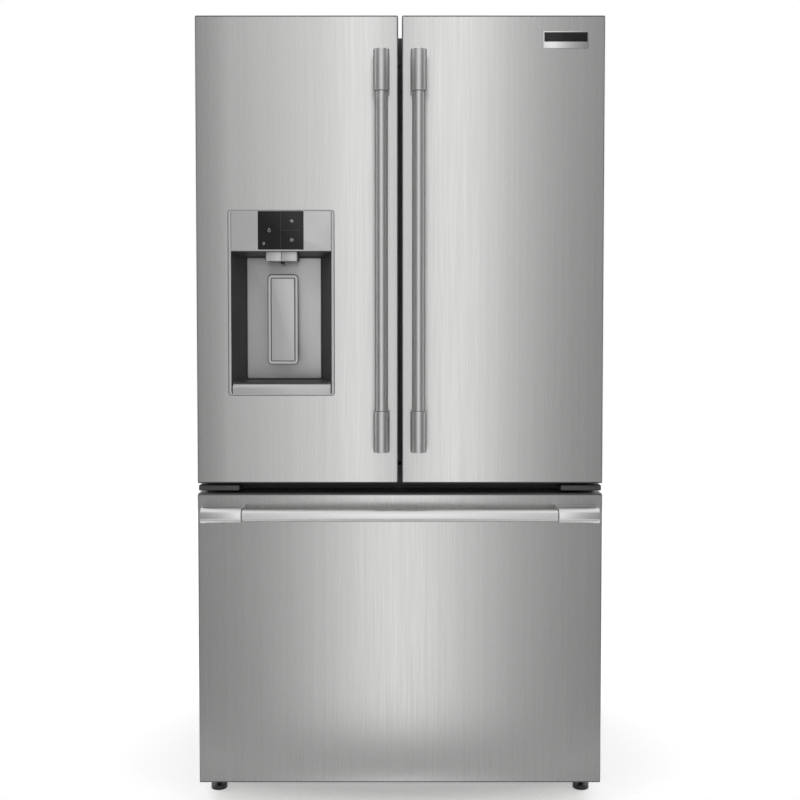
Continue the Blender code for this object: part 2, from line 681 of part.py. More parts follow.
def tray(name, look, low_x, high_x, front, back, low, high, wall, rides_on):
    """An open-topped bin."""
    return piece(name, look,
                 [box((low_x, front, low), (high_x, back, high))],
                 [box((low_x + wall, front + wall, low + wall),
                      (high_x - wall, back - wall, high + OVER))], rides_on)


def ice_maker():
    """An insulated housing in the upper left corner, open at the front."""
    wall = 0.008
    low_x = GAP - ROOM_HALF
    high_x = low_x + ICE_WIDTH
    top = FRIDGE_TOP - GAP
    low = FRIDGE_TOP - ICE_HEIGHT
    back = ICE_FRONT + ICE_DEPTH
    piece("ice_maker_housing", "white_liner",
          [box((low_x, ICE_FRONT + 0.010, low), (high_x, back, top))],
          [box((low_x + wall, ICE_FRONT - OVER, low + wall),
               (high_x - wall, back - wall, top - wall))])
    slide = pivot("ice_bin_slide", ((low_x + high_x) / 2, ICE_FRONT, low))
    clear = 0.002
    tray("ice_bin", "clear_plastic", low_x + wall + clear, high_x - wall - clear,
         ICE_FRONT, back - wall - clear, low + wall + GAP, top - wall - 0.045,
         0.003, slide)


# ---- doors ------------------------------------------------------------------

EDGE_RADIUS = 0.004
HANDLE_X = DOOR_GAP / 2 + 0.0365
HANDLE_Y = DOOR_FRONT - HANDLE_STANDOFF
HANDLE_TOP = DOOR_TOP - 0.085
HANDLE_LOW = DOOR_BOTTOM + 0.075
SOCKET = 0.012           # how far a tube goes into its cap
SOCKET_CLEARANCE = 0.0004
DRAWER_HANDLE_Z = DRAWER_TOP - 0.040
DRAWER_HANDLE_HALF = HALF_WIDTH - 0.0165
GASKET_DROP = 0.005      # gasket's top edge below the case top
GASKET_RISE = 0.004      # gasket's lower edge above the door's lower edge
UPPER_BIN_Z = UPPER_SHELF_Z
LOWER_BIN_Z = CRISPER_TOP + 0.070


def door_outline(low_x, high_x, front, back, radius, steps=3):
    """Plan of a door: round front corners and square back ones."""
    outline = [(high_x, back), (low_x, back)]
    for centre, start in (((low_x + radius), pi), ((high_x - radius), 3 * pi / 2)):
        for step in range(steps + 1):
            angle = start + pi / 2 * step / steps
            outline.append((centre + radius * cos(angle),
                            front + radius + radius * sin(angle)))
    return outline


def skin_and_plug(name, low_x, high_x, low_z, high_z, rides_on, dyke, openings=(),
                  pockets=(), holes=()):
    """A folded steel door skin, open at the back, and the insulated inner panel
    that fills it and stands up behind as a dyke round the bins."""
    skin = SHEET + GAP
    past = DOOR_BACK + OVER
    piece(f"{name}_skin", "stainless",
          [prism(door_outline(low_x, high_x, DOOR_FRONT, DOOR_BACK, EDGE_RADIUS),
                 "Z", low_z, high_z)],
          [prism(door_outline(low_x + SHEET, high_x - SHEET, DOOR_FRONT + SHEET, past,
                              EDGE_RADIUS - SHEET), "Z", low_z + SHEET, high_z - SHEET),
           *openings, *holes], rides_on)
    low, high = dyke
    shapes = [prism(door_outline(low_x + skin, high_x - skin, DOOR_FRONT + skin,
                                 DOOR_BACK, EDGE_RADIUS - skin),
                    "Z", low_z + skin, high_z - skin),
              box((low[0], DOOR_BACK - BITE, low[1]),
                  (high[0], DOOR_BACK + DYKE_HEIGHT, high[1]))]
    inner = box((low[0] + DYKE_WALL, DOOR_BACK, low[1] + DYKE_WALL),
                (high[0] - DYKE_WALL, DOOR_BACK + DYKE_HEIGHT + OVER,
                 high[1] - DYKE_WALL))
    piece(f"{name}_liner", "white_liner", shapes, [inner, *pockets, *holes], rides_on)


def gasket(name, low, high, rides_on):
    """The magnetic seal round a door back, between (x, z) corners."""
    front = DOOR_BACK + GAP
    back = CASE_FRONT - GAP
    width = GASKET_WIDTH
    piece(name, "grey_rubber",
          [box((low[0], front, low[1]), (high[0], back, high[1]))],
          [box((low[0] + width, front - OVER, low[1] + width),
               (high[0] - width, back + OVER, high[1] - width))], rides_on)


def d_outline(axis_first, axis_second, wall, sign):
    """A post's section: round in front of the handle's axis and straight back to
    the door face.  The first coordinate runs along the face, the second out of it."""
    outline = []
    steps = ROUND_SIDES // 2
    for step in range(steps + 1):
        angle = pi + pi * step / steps
        outline.append((axis_first + CAP_RADIUS * cos(angle),
                        axis_second + CAP_RADIUS * sin(angle)))
    outline.append((axis_first + CAP_RADIUS, wall))
    outline.append((axis_first - CAP_RADIUS, wall))
    if sign < 0:
        outline = [(second, first) for first, second in reversed(outline)]
    return outline


def upright_handle(label, x, rides_on):
    """A round bar between two end posts that stand on the door face."""
    wall = DOOR_FRONT - GAP
    section = d_outline(x, HANDLE_Y, wall, 1)
    low_end = HANDLE_LOW + CAP_LENGTH
    high_end = HANDLE_TOP - CAP_LENGTH
    bore = TUBE_RADIUS + SOCKET_CLEARANCE
    spans = {"lower_post": (HANDLE_LOW, low_end, low_end - SOCKET - GAP, low_end + OVER),
             "upper_post": (high_end, HANDLE_TOP, high_end - OVER,
                            high_end + SOCKET + GAP)}
    for part, (low, high, bore_low, bore_high) in spans.items():
        smooth(piece(f"{label}_handle_{part}", "handle_steel",
                     [prism(section, "Z", low, high)],
                     [rod((x, HANDLE_Y, bore_low), (x, HANDLE_Y, bore_high), bore)],
                     rides_on))
    smooth(piece(f"{label}_handle_tube", "handle_steel",
                 [rod((x, HANDLE_Y, low_end - SOCKET), (x, HANDLE_Y, high_end + SOCKET),
                      TUBE_RADIUS)], pivot=rides_on))


def hinge_holes(side):
    """Holes in a door's ends for the pins it turns on."""
    bore = PIN_RADIUS + PIN_CLEARANCE
    place = (side * HINGE_X, HINGE_Y)
    reach = PIN_DEPTH + 0.001
    return [rod((*place, DOOR_BOTTOM - OVER), (*place, DOOR_BOTTOM + reach), bore,
                PIN_SIDES),
            rod((*place, DOOR_TOP - reach), (*place, DOOR_TOP + OVER), bore, PIN_SIDES)]


def door_bins(label, side, rides_on):
    """Two bins held between the dyke walls of a door."""
    clear = DYKE_WALL + GAP
    low_x, high_x = across(side, DYKE_INNER + clear, ROOM_HALF - DYKE_CLEARANCE - clear)
    for part, level in (("lower", LOWER_BIN_Z), ("upper", UPPER_BIN_Z)):
        tray(f"{label}_door_bin_{part}", "clear_plastic", low_x, high_x,
             DOOR_BACK + GAP, DOOR_BACK + GAP + BIN_REACH, level, level + BIN_HEIGHT,
             BIN_WALL, rides_on)


def upper_door(label, side, openings=(), pockets=()):
    """One upper door with its seal, handle and bins.  Returns its hinge empty."""
    hinge = pivot(f"{label}_door_hinge", (side * HINGE_X, HINGE_Y, DOOR_BOTTOM))
    low_x, high_x = across(side, DOOR_GAP / 2, HALF_WIDTH)
    dyke_low, dyke_high = across(side, DYKE_INNER, ROOM_HALF - DYKE_CLEARANCE)
    dyke = ((dyke_low, FRIDGE_FLOOR + DYKE_CLEARANCE),
            (dyke_high, FRIDGE_TOP - DYKE_CLEARANCE))
    skin_and_plug(f"{label}_door", low_x, high_x, DOOR_BOTTOM, DOOR_TOP, hinge, dyke,
                  openings, pockets, hinge_holes(side))
    gasket(f"{label}_door_gasket",
           (low_x + GASKET_INSET, DOOR_BOTTOM + GASKET_RISE),
           (high_x - GASKET_INSET, CASE_TOP - GASKET_DROP), hinge)
    upright_handle(label, side * HANDLE_X, hinge)
    door_bins(label, side, hinge)
    return hinge


# ---- dispenser --------------------------------------------------------------

DISPENSER_INSET = 0.1891 # door's outer side to the middle of the dispenser
DISPENSER_X = DISPENSER_INSET - HALF_WIDTH
DISPENSER_WIDTH = 0.2364
DISPENSER_LOW = DOOR_BOTTOM + 0.196
DISPENSER_HEIGHT = 0.4116
RIM = 0.003              # flange over the door skin
FLANGE_THICK = 0.0020
HOUSING_DEPTH = 0.068    # into the door
HOUSING_BACK_WALL = 0.004
FASCIA_HEIGHT = 0.0906
MOUTH_HALF = 0.1116      # half-width of the recess at the front
BACK_HALF = 0.0853       # half-width of its back wall
RECESS_LOW = 0.029       # recess floor above the dispenser's lower edge
CHUTE_HALF = 0.0345
CHUTE_DROP = 0.022
CHUTE_DEPTH = 0.040
PADDLE_HALF = 0.03435
PADDLE_HEIGHT = 0.201
PADDLE_THICK = 0.004
PADDLE_DROP = 0.052      # paddle's top below the fascia
PADDLE_Y = DOOR_FRONT + 0.034
PADDLE_PIN = 0.002
TRAY_HEIGHT = 0.024
TRAY_DEPTH = 0.052


def dispenser(hinge):
    """The recess with its chute, the paddle and the drip tray."""
    low_x = DISPENSER_X - DISPENSER_WIDTH / 2
    high_x = DISPENSER_X + DISPENSER_WIDTH / 2
    top = DISPENSER_LOW + DISPENSER_HEIGHT
    fascia = top - FASCIA_HEIGHT
    back = DOOR_FRONT + HOUSING_DEPTH
    face = DOOR_FRONT - FLANGE_THICK
    floor = DISPENSER_LOW + RECESS_LOW
    inner = back - HOUSING_BACK_WALL
    mouth = [(DISPENSER_X - MOUTH_HALF, face - OVER), (DISPENSER_X + MOUTH_HALF, face - OVER),
             (DISPENSER_X + MOUTH_HALF, DOOR_FRONT), (DISPENSER_X + BACK_HALF, inner),
             (DISPENSER_X - BACK_HALF, inner), (DISPENSER_X - MOUTH_HALF, DOOR_FRONT)]
    smooth(piece("dispenser_housing", "silver_plastic",
                 [box((low_x, face, DISPENSER_LOW), (high_x, DOOR_FRONT - GAP, top)),
                  box((low_x + RIM, DOOR_FRONT - BITE, DISPENSER_LOW + RIM),
                      (high_x - RIM, back, top - RIM))],
                 [prism(mouth, "Z", floor, fascia)], hinge))
    chute_back = DOOR_FRONT + CHUTE_DEPTH
    chute_front = DOOR_FRONT + 0.006
    join("dispenser_housing", "chute",
         box((DISPENSER_X - CHUTE_HALF, chute_front, fascia - CHUTE_DROP),
             (DISPENSER_X + CHUTE_HALF, chute_back, fascia + BITE)))
    paddle_top = fascia - PADDLE_DROP
    ear_gap = 0.0006
    for side in (-1, 1):
        near = DISPENSER_X + side * (PADDLE_HALF + ear_gap)
        far = DISPENSER_X + side * (PADDLE_HALF + ear_gap + PLATE)
        join("dispenser_housing", f"paddle_ear_{side}",
             box((min(near, far), PADDLE_Y - 0.004, paddle_top - 0.006),
                 (max(near, far), inner + BITE, paddle_top + 0.006)))
        join("dispenser_housing", f"paddle_pin_{side}",
             rod((near + side * BITE, PADDLE_Y, paddle_top),
                 (near - side * 0.005, PADDLE_Y, paddle_top), PADDLE_PIN, PIN_SIDES))
    turn = pivot("dispenser_paddle_hinge", (DISPENSER_X, PADDLE_Y, paddle_top), hinge)
    half_thick = PADDLE_THICK / 2
    bore = PADDLE_PIN + SHAFT_CLEARANCE
    knuckle = half_thick + 0.0024
    piece("dispenser_paddle", "silver_plastic",
          [box((DISPENSER_X - PADDLE_HALF, PADDLE_Y - half_thick, paddle_top - PADDLE_HEIGHT),
               (DISPENSER_X + PADDLE_HALF, PADDLE_Y + half_thick, paddle_top + BITE)),
           rod((DISPENSER_X - PADDLE_HALF, PADDLE_Y, paddle_top),
               (DISPENSER_X + PADDLE_HALF, PADDLE_Y, paddle_top), knuckle, PIN_SIDES)],
          [rod((DISPENSER_X + side * (PADDLE_HALF + OVER), PADDLE_Y, paddle_top),
               (DISPENSER_X + side * (PADDLE_HALF - 0.006), PADDLE_Y, paddle_top),
               bore, PIN_SIDES) for side in (-1, 1)]
          + [box((DISPENSER_X - PADDLE_HALF + 0.007, PADDLE_Y - half_thick - OVER,
                  paddle_top - PADDLE_HEIGHT + 0.007),
                 (DISPENSER_X + PADDLE_HALF - 0.007, PADDLE_Y - half_thick + 0.0015,
                  paddle_top - 0.012))], turn)
    drip_tray(hinge, floor)


def drip_tray(hinge, floor):
    """A tray with a grille top, drawn forward out of the recess floor."""
    face = DOOR_FRONT - FLANGE_THICK
    half = MOUTH_HALF - 0.006
    low = floor - TRAY_HEIGHT
    slot = box((DISPENSER_X - half - GAP, face - OVER, low - GAP),
               (DISPENSER_X + half + GAP, DOOR_FRONT + TRAY_DEPTH, floor + OVER / 5))
    housing = bpy.data.objects["dispenser_housing"]
    change = housing.modifiers.new("tray_slot", "BOOLEAN")
    change.operation = "DIFFERENCE"
    change.solver = "EXACT"
    change.object = tool("dispenser_housing.tray_slot", slot)
    slide = pivot("drip_tray_slide", (DISPENSER_X, DOOR_FRONT, low), hinge)
    wall = 0.002
    front = DOOR_FRONT - 0.0015
    back = DOOR_FRONT + TRAY_DEPTH - GAP
    cuts = []
    bars = 11
    pitch = 2 * (half - 0.010) / bars
    for number in range(bars):
        left = DISPENSER_X - half + 0.010 + number * pitch
        cuts.append(box((left + 0.003, front + 0.014, low + wall),
                        (left + pitch - 0.003, back - 0.006, floor + OVER)))
    piece("drip_tray", "silver_plastic",
          [box((DISPENSER_X - half, front, low), (DISPENSER_X + half, back, floor))],
          cuts, slide)


# ---- flipper between the doors ----------------------------------------------

FLIPPER_PIVOT_X = 0.014 - DYKE_INNER
FLIPPER_NEAR = FLIPPER_PIVOT_X + 0.004
FLIPPER_FAR = 0.0
FLIPPER_THICK = 0.020
FLIPPER_FRONT = CASE_FRONT
FLIPPER_Y = FLIPPER_FRONT + FLIPPER_THICK / 2
FLIPPER_CLEAR = 0.014    # from its ends to the fridge floor and ceiling
FLIPPER_PIN = 0.0025
EAR_THICK = 0.006


def flipper(hinge):
    """The upright bar on the left door that closes the middle of the opening."""
    low = FRIDGE_FLOOR + FLIPPER_CLEAR
    high = FRIDGE_TOP - FLIPPER_CLEAR
    fold = pivot("flipper_fold", (FLIPPER_PIVOT_X, FLIPPER_Y, low), hinge)
    knuckle = 0.0065
    place = (FLIPPER_PIVOT_X, FLIPPER_Y)
    bore = FLIPPER_PIN + SHAFT_CLEARANCE
    piece("flipper_mullion", "dark_plastic",
          [box((FLIPPER_NEAR, FLIPPER_FRONT, low),
               (FLIPPER_FAR, FLIPPER_FRONT + FLIPPER_THICK, high)),
           rod((*place, low), (*place, high), knuckle, PIN_SIDES),
           box((FLIPPER_PIVOT_X, FLIPPER_Y - knuckle / 2, low),
               (FLIPPER_NEAR + BITE, FLIPPER_Y + knuckle / 2, high))],
          [rod((*place, low - OVER), (*place, low + 0.012), bore, PIN_SIDES),
           rod((*place, high - 0.012), (*place, high + OVER), bore, PIN_SIDES)], fold)
    for end, edge, reach in (("low", low - GAP, -EAR_THICK), ("high", high + GAP, EAR_THICK)):
        ear_low, ear_high = sorted((edge, edge + reach))
        join("left_door_liner", f"flipper_ear_{end}",
             box((-DYKE_INNER - BITE, FLIPPER_Y - 0.006, ear_low),
                 (FLIPPER_PIVOT_X + 0.006, FLIPPER_Y + 0.006, ear_high)))
        pin_far = edge - reach * 10 / EAR_THICK * 0.001
        join("left_door_liner", f"flipper_pin_{end}",
             rod((*place, edge + reach / 2), (*place, pin_far), FLIPPER_PIN, PIN_SIDES))


# ---- freezer drawer ---------------------------------------------------------

RUNNER_HEIGHT = 0.040
RUNNER_Z = FREEZER_FLOOR + 0.110
RAIL_THICK = 0.010
RAIL_SETBACK = 0.004
RUNNER_THICK = 0.008
RAIL_BACK = STEP_FRONT - 0.012
BASKET_CLEAR = 0.008
BASKET_LOW = FREEZER_FLOOR + 0.020
BASKET_HIGH = STEP_TOP + 0.110
BASKET_WALL = 0.004
UPPER_BASKET_HEIGHT = 0.120


def drawer_handle(slide):
    """The level bar across the top of the freezer drawer."""
    wall = DOOR_FRONT - GAP
    section = d_outline(DRAWER_HANDLE_Z, HANDLE_Y, wall, -1)
    bore = TUBE_RADIUS + SOCKET_CLEARANCE
    end = DRAWER_HANDLE_HALF
    near = end - CAP_LENGTH
    for side, label in ((-1, "left"), (1, "right")):
        low_x, high_x = across(side, near, end)
        bore_low, bore_high = across(side, near - OVER, near + SOCKET + GAP)
        smooth(piece(f"drawer_handle_{label}_post", "handle_steel",
                     [prism(section, "X", low_x, high_x)],
                     [rod((bore_low, HANDLE_Y, DRAWER_HANDLE_Z),
                          (bore_high, HANDLE_Y, DRAWER_HANDLE_Z), bore)], slide))
    smooth(piece("drawer_handle_tube", "handle_steel",
                 [rod((-near - SOCKET, HANDLE_Y, DRAWER_HANDLE_Z),
                      (near + SOCKET, HANDLE_Y, DRAWER_HANDLE_Z), TUBE_RADIUS)],
                 pivot=slide))


def wire_basket(name, low, high, wall, rides_on, windows):
    """An open basket with windows between its wires."""
    front, back = low[1], high[1]
    cuts = [box((low[0] + wall, front + wall, low[2] + wall),
                (high[0] - wall, back - wall, high[2] + OVER))]
    pitch = (high[0] - low[0]) / windows
    for number in range(windows):
        left = low[0] + number * pitch
        cuts.append(box((left + 0.012, front - OVER, low[2] + 0.020),
                        (left + pitch - 0.012, back + OVER, high[2] - 0.020)))
    piece(name, "white_wire", [box(low, high)], cuts, rides_on)


def freezer_drawer():
    """The drawer front, its slides, the wire basket and the upper tray."""
    slide = pivot("freezer_drawer_slide", (0.0, DOOR_BACK, DRAWER_BOTTOM))
    half = ROOM_HALF - RAIL_THICK - RUNNER_THICK - 4 * GAP
    dyke = ((-half, FREEZER_FLOOR + DYKE_CLEARANCE), (half, FREEZER_TOP - DYKE_CLEARANCE))
    skin_and_plug("drawer", -HALF_WIDTH, HALF_WIDTH, DRAWER_BOTTOM, DRAWER_TOP, slide, dyke)
    gasket("drawer_gasket", (GASKET_INSET - HALF_WIDTH, DRAWER_BOTTOM + 0.014),
           (HALF_WIDTH - GASKET_INSET, DRAWER_TOP - 0.008), slide)
    drawer_handle(slide)
    rail_out = ROOM_HALF - GAP
    rail_in = rail_out - RAIL_THICK
    front = CASE_FRONT + RAIL_SETBACK
    low, high = RUNNER_Z, RUNNER_Z + RUNNER_HEIGHT
    basket_half = rail_in - GAP - RUNNER_THICK / 2
    basket_front = DOOR_BACK + DYKE_HEIGHT + BASKET_CLEAR
    wire_basket("freezer_basket", (-basket_half, basket_front, BASKET_LOW),
                (basket_half, STEP_FRONT - BASKET_CLEAR, BASKET_HIGH), BASKET_WALL,
                slide, 10)
    for side, label in ((-1, "left"), (1, "right")):
        out_low, out_high = across(side, rail_in, rail_out)
        piece(f"freezer_rail_{label}", "zinc_plate",
              [box((out_low, front, low), (out_high, RAIL_BACK, high))])
        in_low, in_high = across(side, rail_in - GAP - RUNNER_THICK, rail_in - GAP)
        join("freezer_basket", f"runner_{label}",
             box((in_low, DOOR_BACK + GAP, low), (in_high, RAIL_BACK, high)))
    upper = pivot("freezer_upper_basket_slide", (0.0, basket_front, UPPER_BASKET_Z))
    upper_half = ROOM_HALF - 0.002
    body_half = ROOM_HALF - LEDGE_WIDTH - 0.003
    basket_back = COIL_WALL - 0.060
    tray_low, tray_high = UPPER_BASKET_Z - UPPER_BASKET_HEIGHT, UPPER_BASKET_Z + 0.010
    piece("freezer_upper_basket", "white_liner",
          [box((-body_half, basket_front, tray_low), (body_half, basket_back, tray_high))],
          [box((BASKET_WALL - body_half, basket_front + BASKET_WALL, tray_low + BASKET_WALL),
               (body_half - BASKET_WALL, basket_back - BASKET_WALL, tray_high + OVER))],
          upper)
    for side in (-1, 1):
        rim_low, rim_high = across(side, body_half - BITE, upper_half)
        join("freezer_upper_basket", f"rim_{side}",
             box((rim_low, basket_front, UPPER_BASKET_Z + GAP),
                 (rim_high, basket_back, UPPER_BASKET_Z + 0.005)))


# ---- the whole refrigerator -------------------------------------------------


def main():
    """Build every sub-part."""
    clear_scene()
    cabinet()
    base_frame()
    machine_compartment()
    freezer_cooling()
    legs_and_rollers()
    top_hinges()
    fridge_interior()
    half = DISPENSER_WIDTH / 2 - RIM + GAP
    low = DISPENSER_LOW + RIM - GAP
    high = DISPENSER_LOW + DISPENSER_HEIGHT - RIM + GAP
    hole = box((DISPENSER_X - half, DOOR_FRONT - OVER, low),
               (DISPENSER_X + half, DOOR_FRONT + HOUSING_DEPTH + GAP, high))
    left = upper_door("left", -1, openings=[hole], pockets=[hole])
    dispenser(left)
    flipper(left)
    upper_door("right", 1)
    freezer_drawer()


main()
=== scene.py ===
"""A french door refrigerator's finished surfaces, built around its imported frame."""

import json
from math import atan2, cos, pi, radians, sin

import bmesh
import bpy
from bpy.props import FloatProperty, FloatVectorProperty, IntProperty, PointerProperty
from mathutils import Matrix, Vector


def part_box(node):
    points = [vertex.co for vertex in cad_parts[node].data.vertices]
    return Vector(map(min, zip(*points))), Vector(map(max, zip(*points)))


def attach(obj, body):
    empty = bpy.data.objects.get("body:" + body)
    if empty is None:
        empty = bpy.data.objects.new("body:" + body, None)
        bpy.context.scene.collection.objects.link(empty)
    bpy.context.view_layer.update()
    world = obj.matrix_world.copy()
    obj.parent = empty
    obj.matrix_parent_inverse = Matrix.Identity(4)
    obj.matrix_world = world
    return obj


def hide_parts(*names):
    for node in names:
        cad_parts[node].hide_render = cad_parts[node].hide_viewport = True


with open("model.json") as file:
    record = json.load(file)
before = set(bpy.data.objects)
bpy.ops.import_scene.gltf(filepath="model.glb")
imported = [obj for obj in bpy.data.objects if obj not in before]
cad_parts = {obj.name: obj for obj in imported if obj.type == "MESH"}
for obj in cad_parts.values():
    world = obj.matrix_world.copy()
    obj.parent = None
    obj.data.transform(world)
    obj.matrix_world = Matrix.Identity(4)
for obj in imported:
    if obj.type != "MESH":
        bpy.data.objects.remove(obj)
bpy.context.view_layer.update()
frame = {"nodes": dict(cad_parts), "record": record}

bl_info = {
    "name": "French Door Refrigerator",
    "version": (1, 0, 0),
    "blender": (4, 5, 0),
    "location": "View3D > Sidebar > Refrigerator",
    "description": "Builds the doors, handles, dispenser and fittings of a refrigerator",
    "category": "Object",
}


# ---- places read from the frame ---------------------------------------------

def corners(node):
    """A node's lowest and highest corners."""
    low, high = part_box(node)
    return Vector(low), Vector(high)


LEFT_SKIN = corners("left_door_skin")
RIGHT_SKIN = corners("right_door_skin")
DRAWER_SKIN = corners("drawer_skin")
DISPENSER = corners("dispenser_housing")
FACE_Y = RIGHT_SKIN[0].y          # the doors' front plane
SIDES = ((-1, "left"), (1, "right"))
HAIR = 0.0003                     # clearance between pieces that touch
SAME = 1e-6                       # places closer than this are one place
NEAR = 1e-5                       # the same, where a place was worked out

# a slot of the frame and the finish that fills it
SILVER = ("silver_plastic", "silver_trim")
BLACK = ("dark_plastic", "dark_plastic")
CHARCOAL = ("dark_plastic", "cap_plastic")
WHITE = ("white_liner", "white_liner")
ZINC = ("zinc_plate", "zinc_plate")


# ---- what a user may change -------------------------------------------------

class RefrigeratorSizes(bpy.types.PropertyGroup):
    """Sizes of the finishing pieces."""

    skin_edge: FloatProperty(
        name="Door edge radius", description="Round of the door skins' front edges",
        default=0.0035, min=0.001, max=0.01, unit="LENGTH")
    cap_thickness: FloatProperty(
        name="End cap thickness", description="Plastic cap at a door's top and bottom",
        default=0.003, min=0.001, max=0.01, unit="LENGTH")
    post_edge: FloatProperty(
        name="Handle post edge", description="Round of a handle post's end edges",
        default=0.0016, min=0.0005, max=0.004, unit="LENGTH")
    badge_width: FloatProperty(
        name="Badge width", description="Width of the blank badge on the right door",
        default=0.100, min=0.03, max=0.2, unit="LENGTH")
    badge_height: FloatProperty(
        name="Badge height", description="Height of the blank badge on the right door",
        default=0.037, min=0.01, max=0.1, unit="LENGTH")
    glass_width: FloatProperty(
        name="Touch panel width", description="Width of the dispenser's glass panel",
        default=0.1015, min=0.05, max=0.2, unit="LENGTH")
    wire: FloatProperty(
        name="Basket wire", description="Radius of the freezer baskets' wires",
        default=0.0016, min=0.0008, max=0.003, unit="LENGTH")
    tube_sides: IntProperty(
        name="Tube sides", description="Sides of a handle tube", default=64, min=16,
        max=128)


class RefrigeratorColours(bpy.types.PropertyGroup):
    """Colours of the finishes."""

    steel: FloatVectorProperty(
        name="Stainless steel", description="Brushed steel of doors and drawer",
        subtype="COLOR", default=(0.60, 0.60, 0.595), min=0.0, max=1.0)
    handle: FloatVectorProperty(
        name="Handle steel", description="Satin steel of the handles",
        subtype="COLOR", default=(0.72, 0.72, 0.715), min=0.0, max=1.0)
    liner: FloatVectorProperty(
        name="Liner", description="Moulded white plastic inside",
        subtype="COLOR", default=(0.80, 0.81, 0.82), min=0.0, max=1.0)
    case: FloatVectorProperty(
        name="Case paint", description="Textured grey paint of the case",
        subtype="COLOR", default=(0.22, 0.225, 0.23), min=0.0, max=1.0)


def sizes():
    """The scene's size settings."""
    return bpy.context.scene.refrigerator_sizes


def colours():
    """The scene's colour settings."""
    return bpy.context.scene.refrigerator_colours


# ---- materials --------------------------------------------------------------

class Finish:
    """A material in the making: a Principled shader and the patterns that feed it."""

    def __init__(self, name, colour, roughness, metallic=0.0, **inputs):
        self.made = bpy.data.materials.new(name)
        self.made.use_nodes = True
        self.tree = self.made.node_tree
        self.shader = self.tree.nodes["Principled BSDF"]
        self.colour = (*colour[:3], 1.0)
        self.roughness = roughness
        self.shader.inputs["Base Color"].default_value = self.colour
        self.shader.inputs["Roughness"].default_value = roughness
        self.shader.inputs["Metallic"].default_value = metallic
        for label, value in inputs.items():
            self.shader.inputs[label.replace("_", " ")].default_value = value

    def node(self, kind, **values):
        """A node with its inputs set by name."""
        made = self.tree.nodes.new(kind)
        for label, value in values.items():
            made.inputs[label.replace("_", " ")].default_value = value
        return made

    def link(self, source, target):
        """Join an output to an input."""
        self.tree.links.new(source, target)

    def pattern(self, scale, detail=3.0, kind="ShaderNodeTexNoise"):
        """A noise or cell pattern on Object coordinates, of one scale or three."""
        if isinstance(scale, float):
            scale = (scale, scale, scale)
        place = self.node("ShaderNodeTexCoord")
        mapping = self.node("ShaderNodeMapping", Scale=scale)
        texture = self.node(kind, Scale=1.0)
        if kind == "ShaderNodeTexNoise":
            texture.inputs["Detail"].default_value = detail
        self.link(place.outputs["Object"], mapping.inputs["Vector"])
        self.link(mapping.outputs["Vector"], texture.inputs["Vector"])
        return texture

    def vary_roughness(self, texture, spread):
        """Roughness that wanders by spread either way."""
        span = self.node("ShaderNodeMapRange", From_Min=0.3, From_Max=0.7,
                         To_Min=self.roughness - spread, To_Max=self.roughness + spread)
        self.link(texture.outputs[0], span.inputs["Value"])
        self.link(span.outputs["Result"], self.shader.inputs["Roughness"])

    def vary_colour(self, texture, spread):
        """Colour that wanders lighter and darker by spread."""
        ramp = self.node("ShaderNodeValToRGB")
        for stop, share in zip(ramp.color_ramp.elements, (1.0 - spread, 1.0 + spread)):
            stop.color = (*[min(part * share, 1.0) for part in self.colour[:3]], 1.0)
        ramp.color_ramp.elements[0].position = 0.3
        ramp.color_ramp.elements[1].position = 0.7
        self.link(texture.outputs[0], ramp.inputs["Fac"])
        self.link(ramp.outputs["Color"], self.shader.inputs["Base Color"])

    def bump(self, texture, strength, distance):
        """Relief from a pattern."""
        relief = self.node("ShaderNodeBump", Strength=strength, Distance=distance)
        self.link(texture.outputs[0], relief.inputs["Height"])
        self.link(relief.outputs["Normal"], self.shader.inputs["Normal"])


def brushed(name, colour, roughness, along, spread=0.04, relief=0.25, tone=0.025):
    """Metal with a fine brush line that runs along one axis."""
    fine, long = 1400.0, 6.0
    scale = [fine, fine, fine]
    scale["XYZ".index(along)] = long
    made = Finish(name, colour, roughness, 1.0)
    lines = made.pattern(scale, 2.0)
    made.vary_roughness(lines, spread)
    broad = made.pattern([part / 9.0 for part in scale], 3.0)
    made.vary_colour(broad, tone)
    if relief:
        made.bump(lines, relief, 0.00002)
    return made.made


def moulded(name, colour, roughness, grain=900.0, relief=0.00003, **inputs):
    """Moulded plastic or rubber with a fine skin."""
    made = Finish(name, colour, roughness, 0.0, **inputs)
    skin = made.pattern(grain, 2.0)
    made.bump(skin, 0.3, relief)
    wander = made.pattern(14.0, 3.0)
    made.vary_roughness(wander, 0.05)
    made.vary_colour(wander, 0.02)
    return made.made


def satin_plastic(name, colour, roughness):
    """Silver-painted plastic: a metal flake under a satin skin."""
    made = Finish(name, colour, roughness, 0.35, Specular_IOR_Level=0.5)
    flake = made.pattern(2600.0, 1.0)
    made.bump(flake, 0.12, 0.00001)
    made.vary_roughness(made.pattern(20.0, 3.0), 0.03)
    made.vary_colour(flake, 0.02)
    return made.made


def painted(name, colour, roughness, grain=520.0):
    """Textured powder paint on steel."""
    made = Finish(name, colour, roughness, 0.0, Coat_Weight=0.15, Coat_Roughness=0.3)
    peel = made.pattern(grain, 3.0)
    made.bump(peel, 0.45, 0.00008)
    wander = made.pattern(9.0, 4.0)
    made.vary_colour(wander, 0.03)
    return made.made


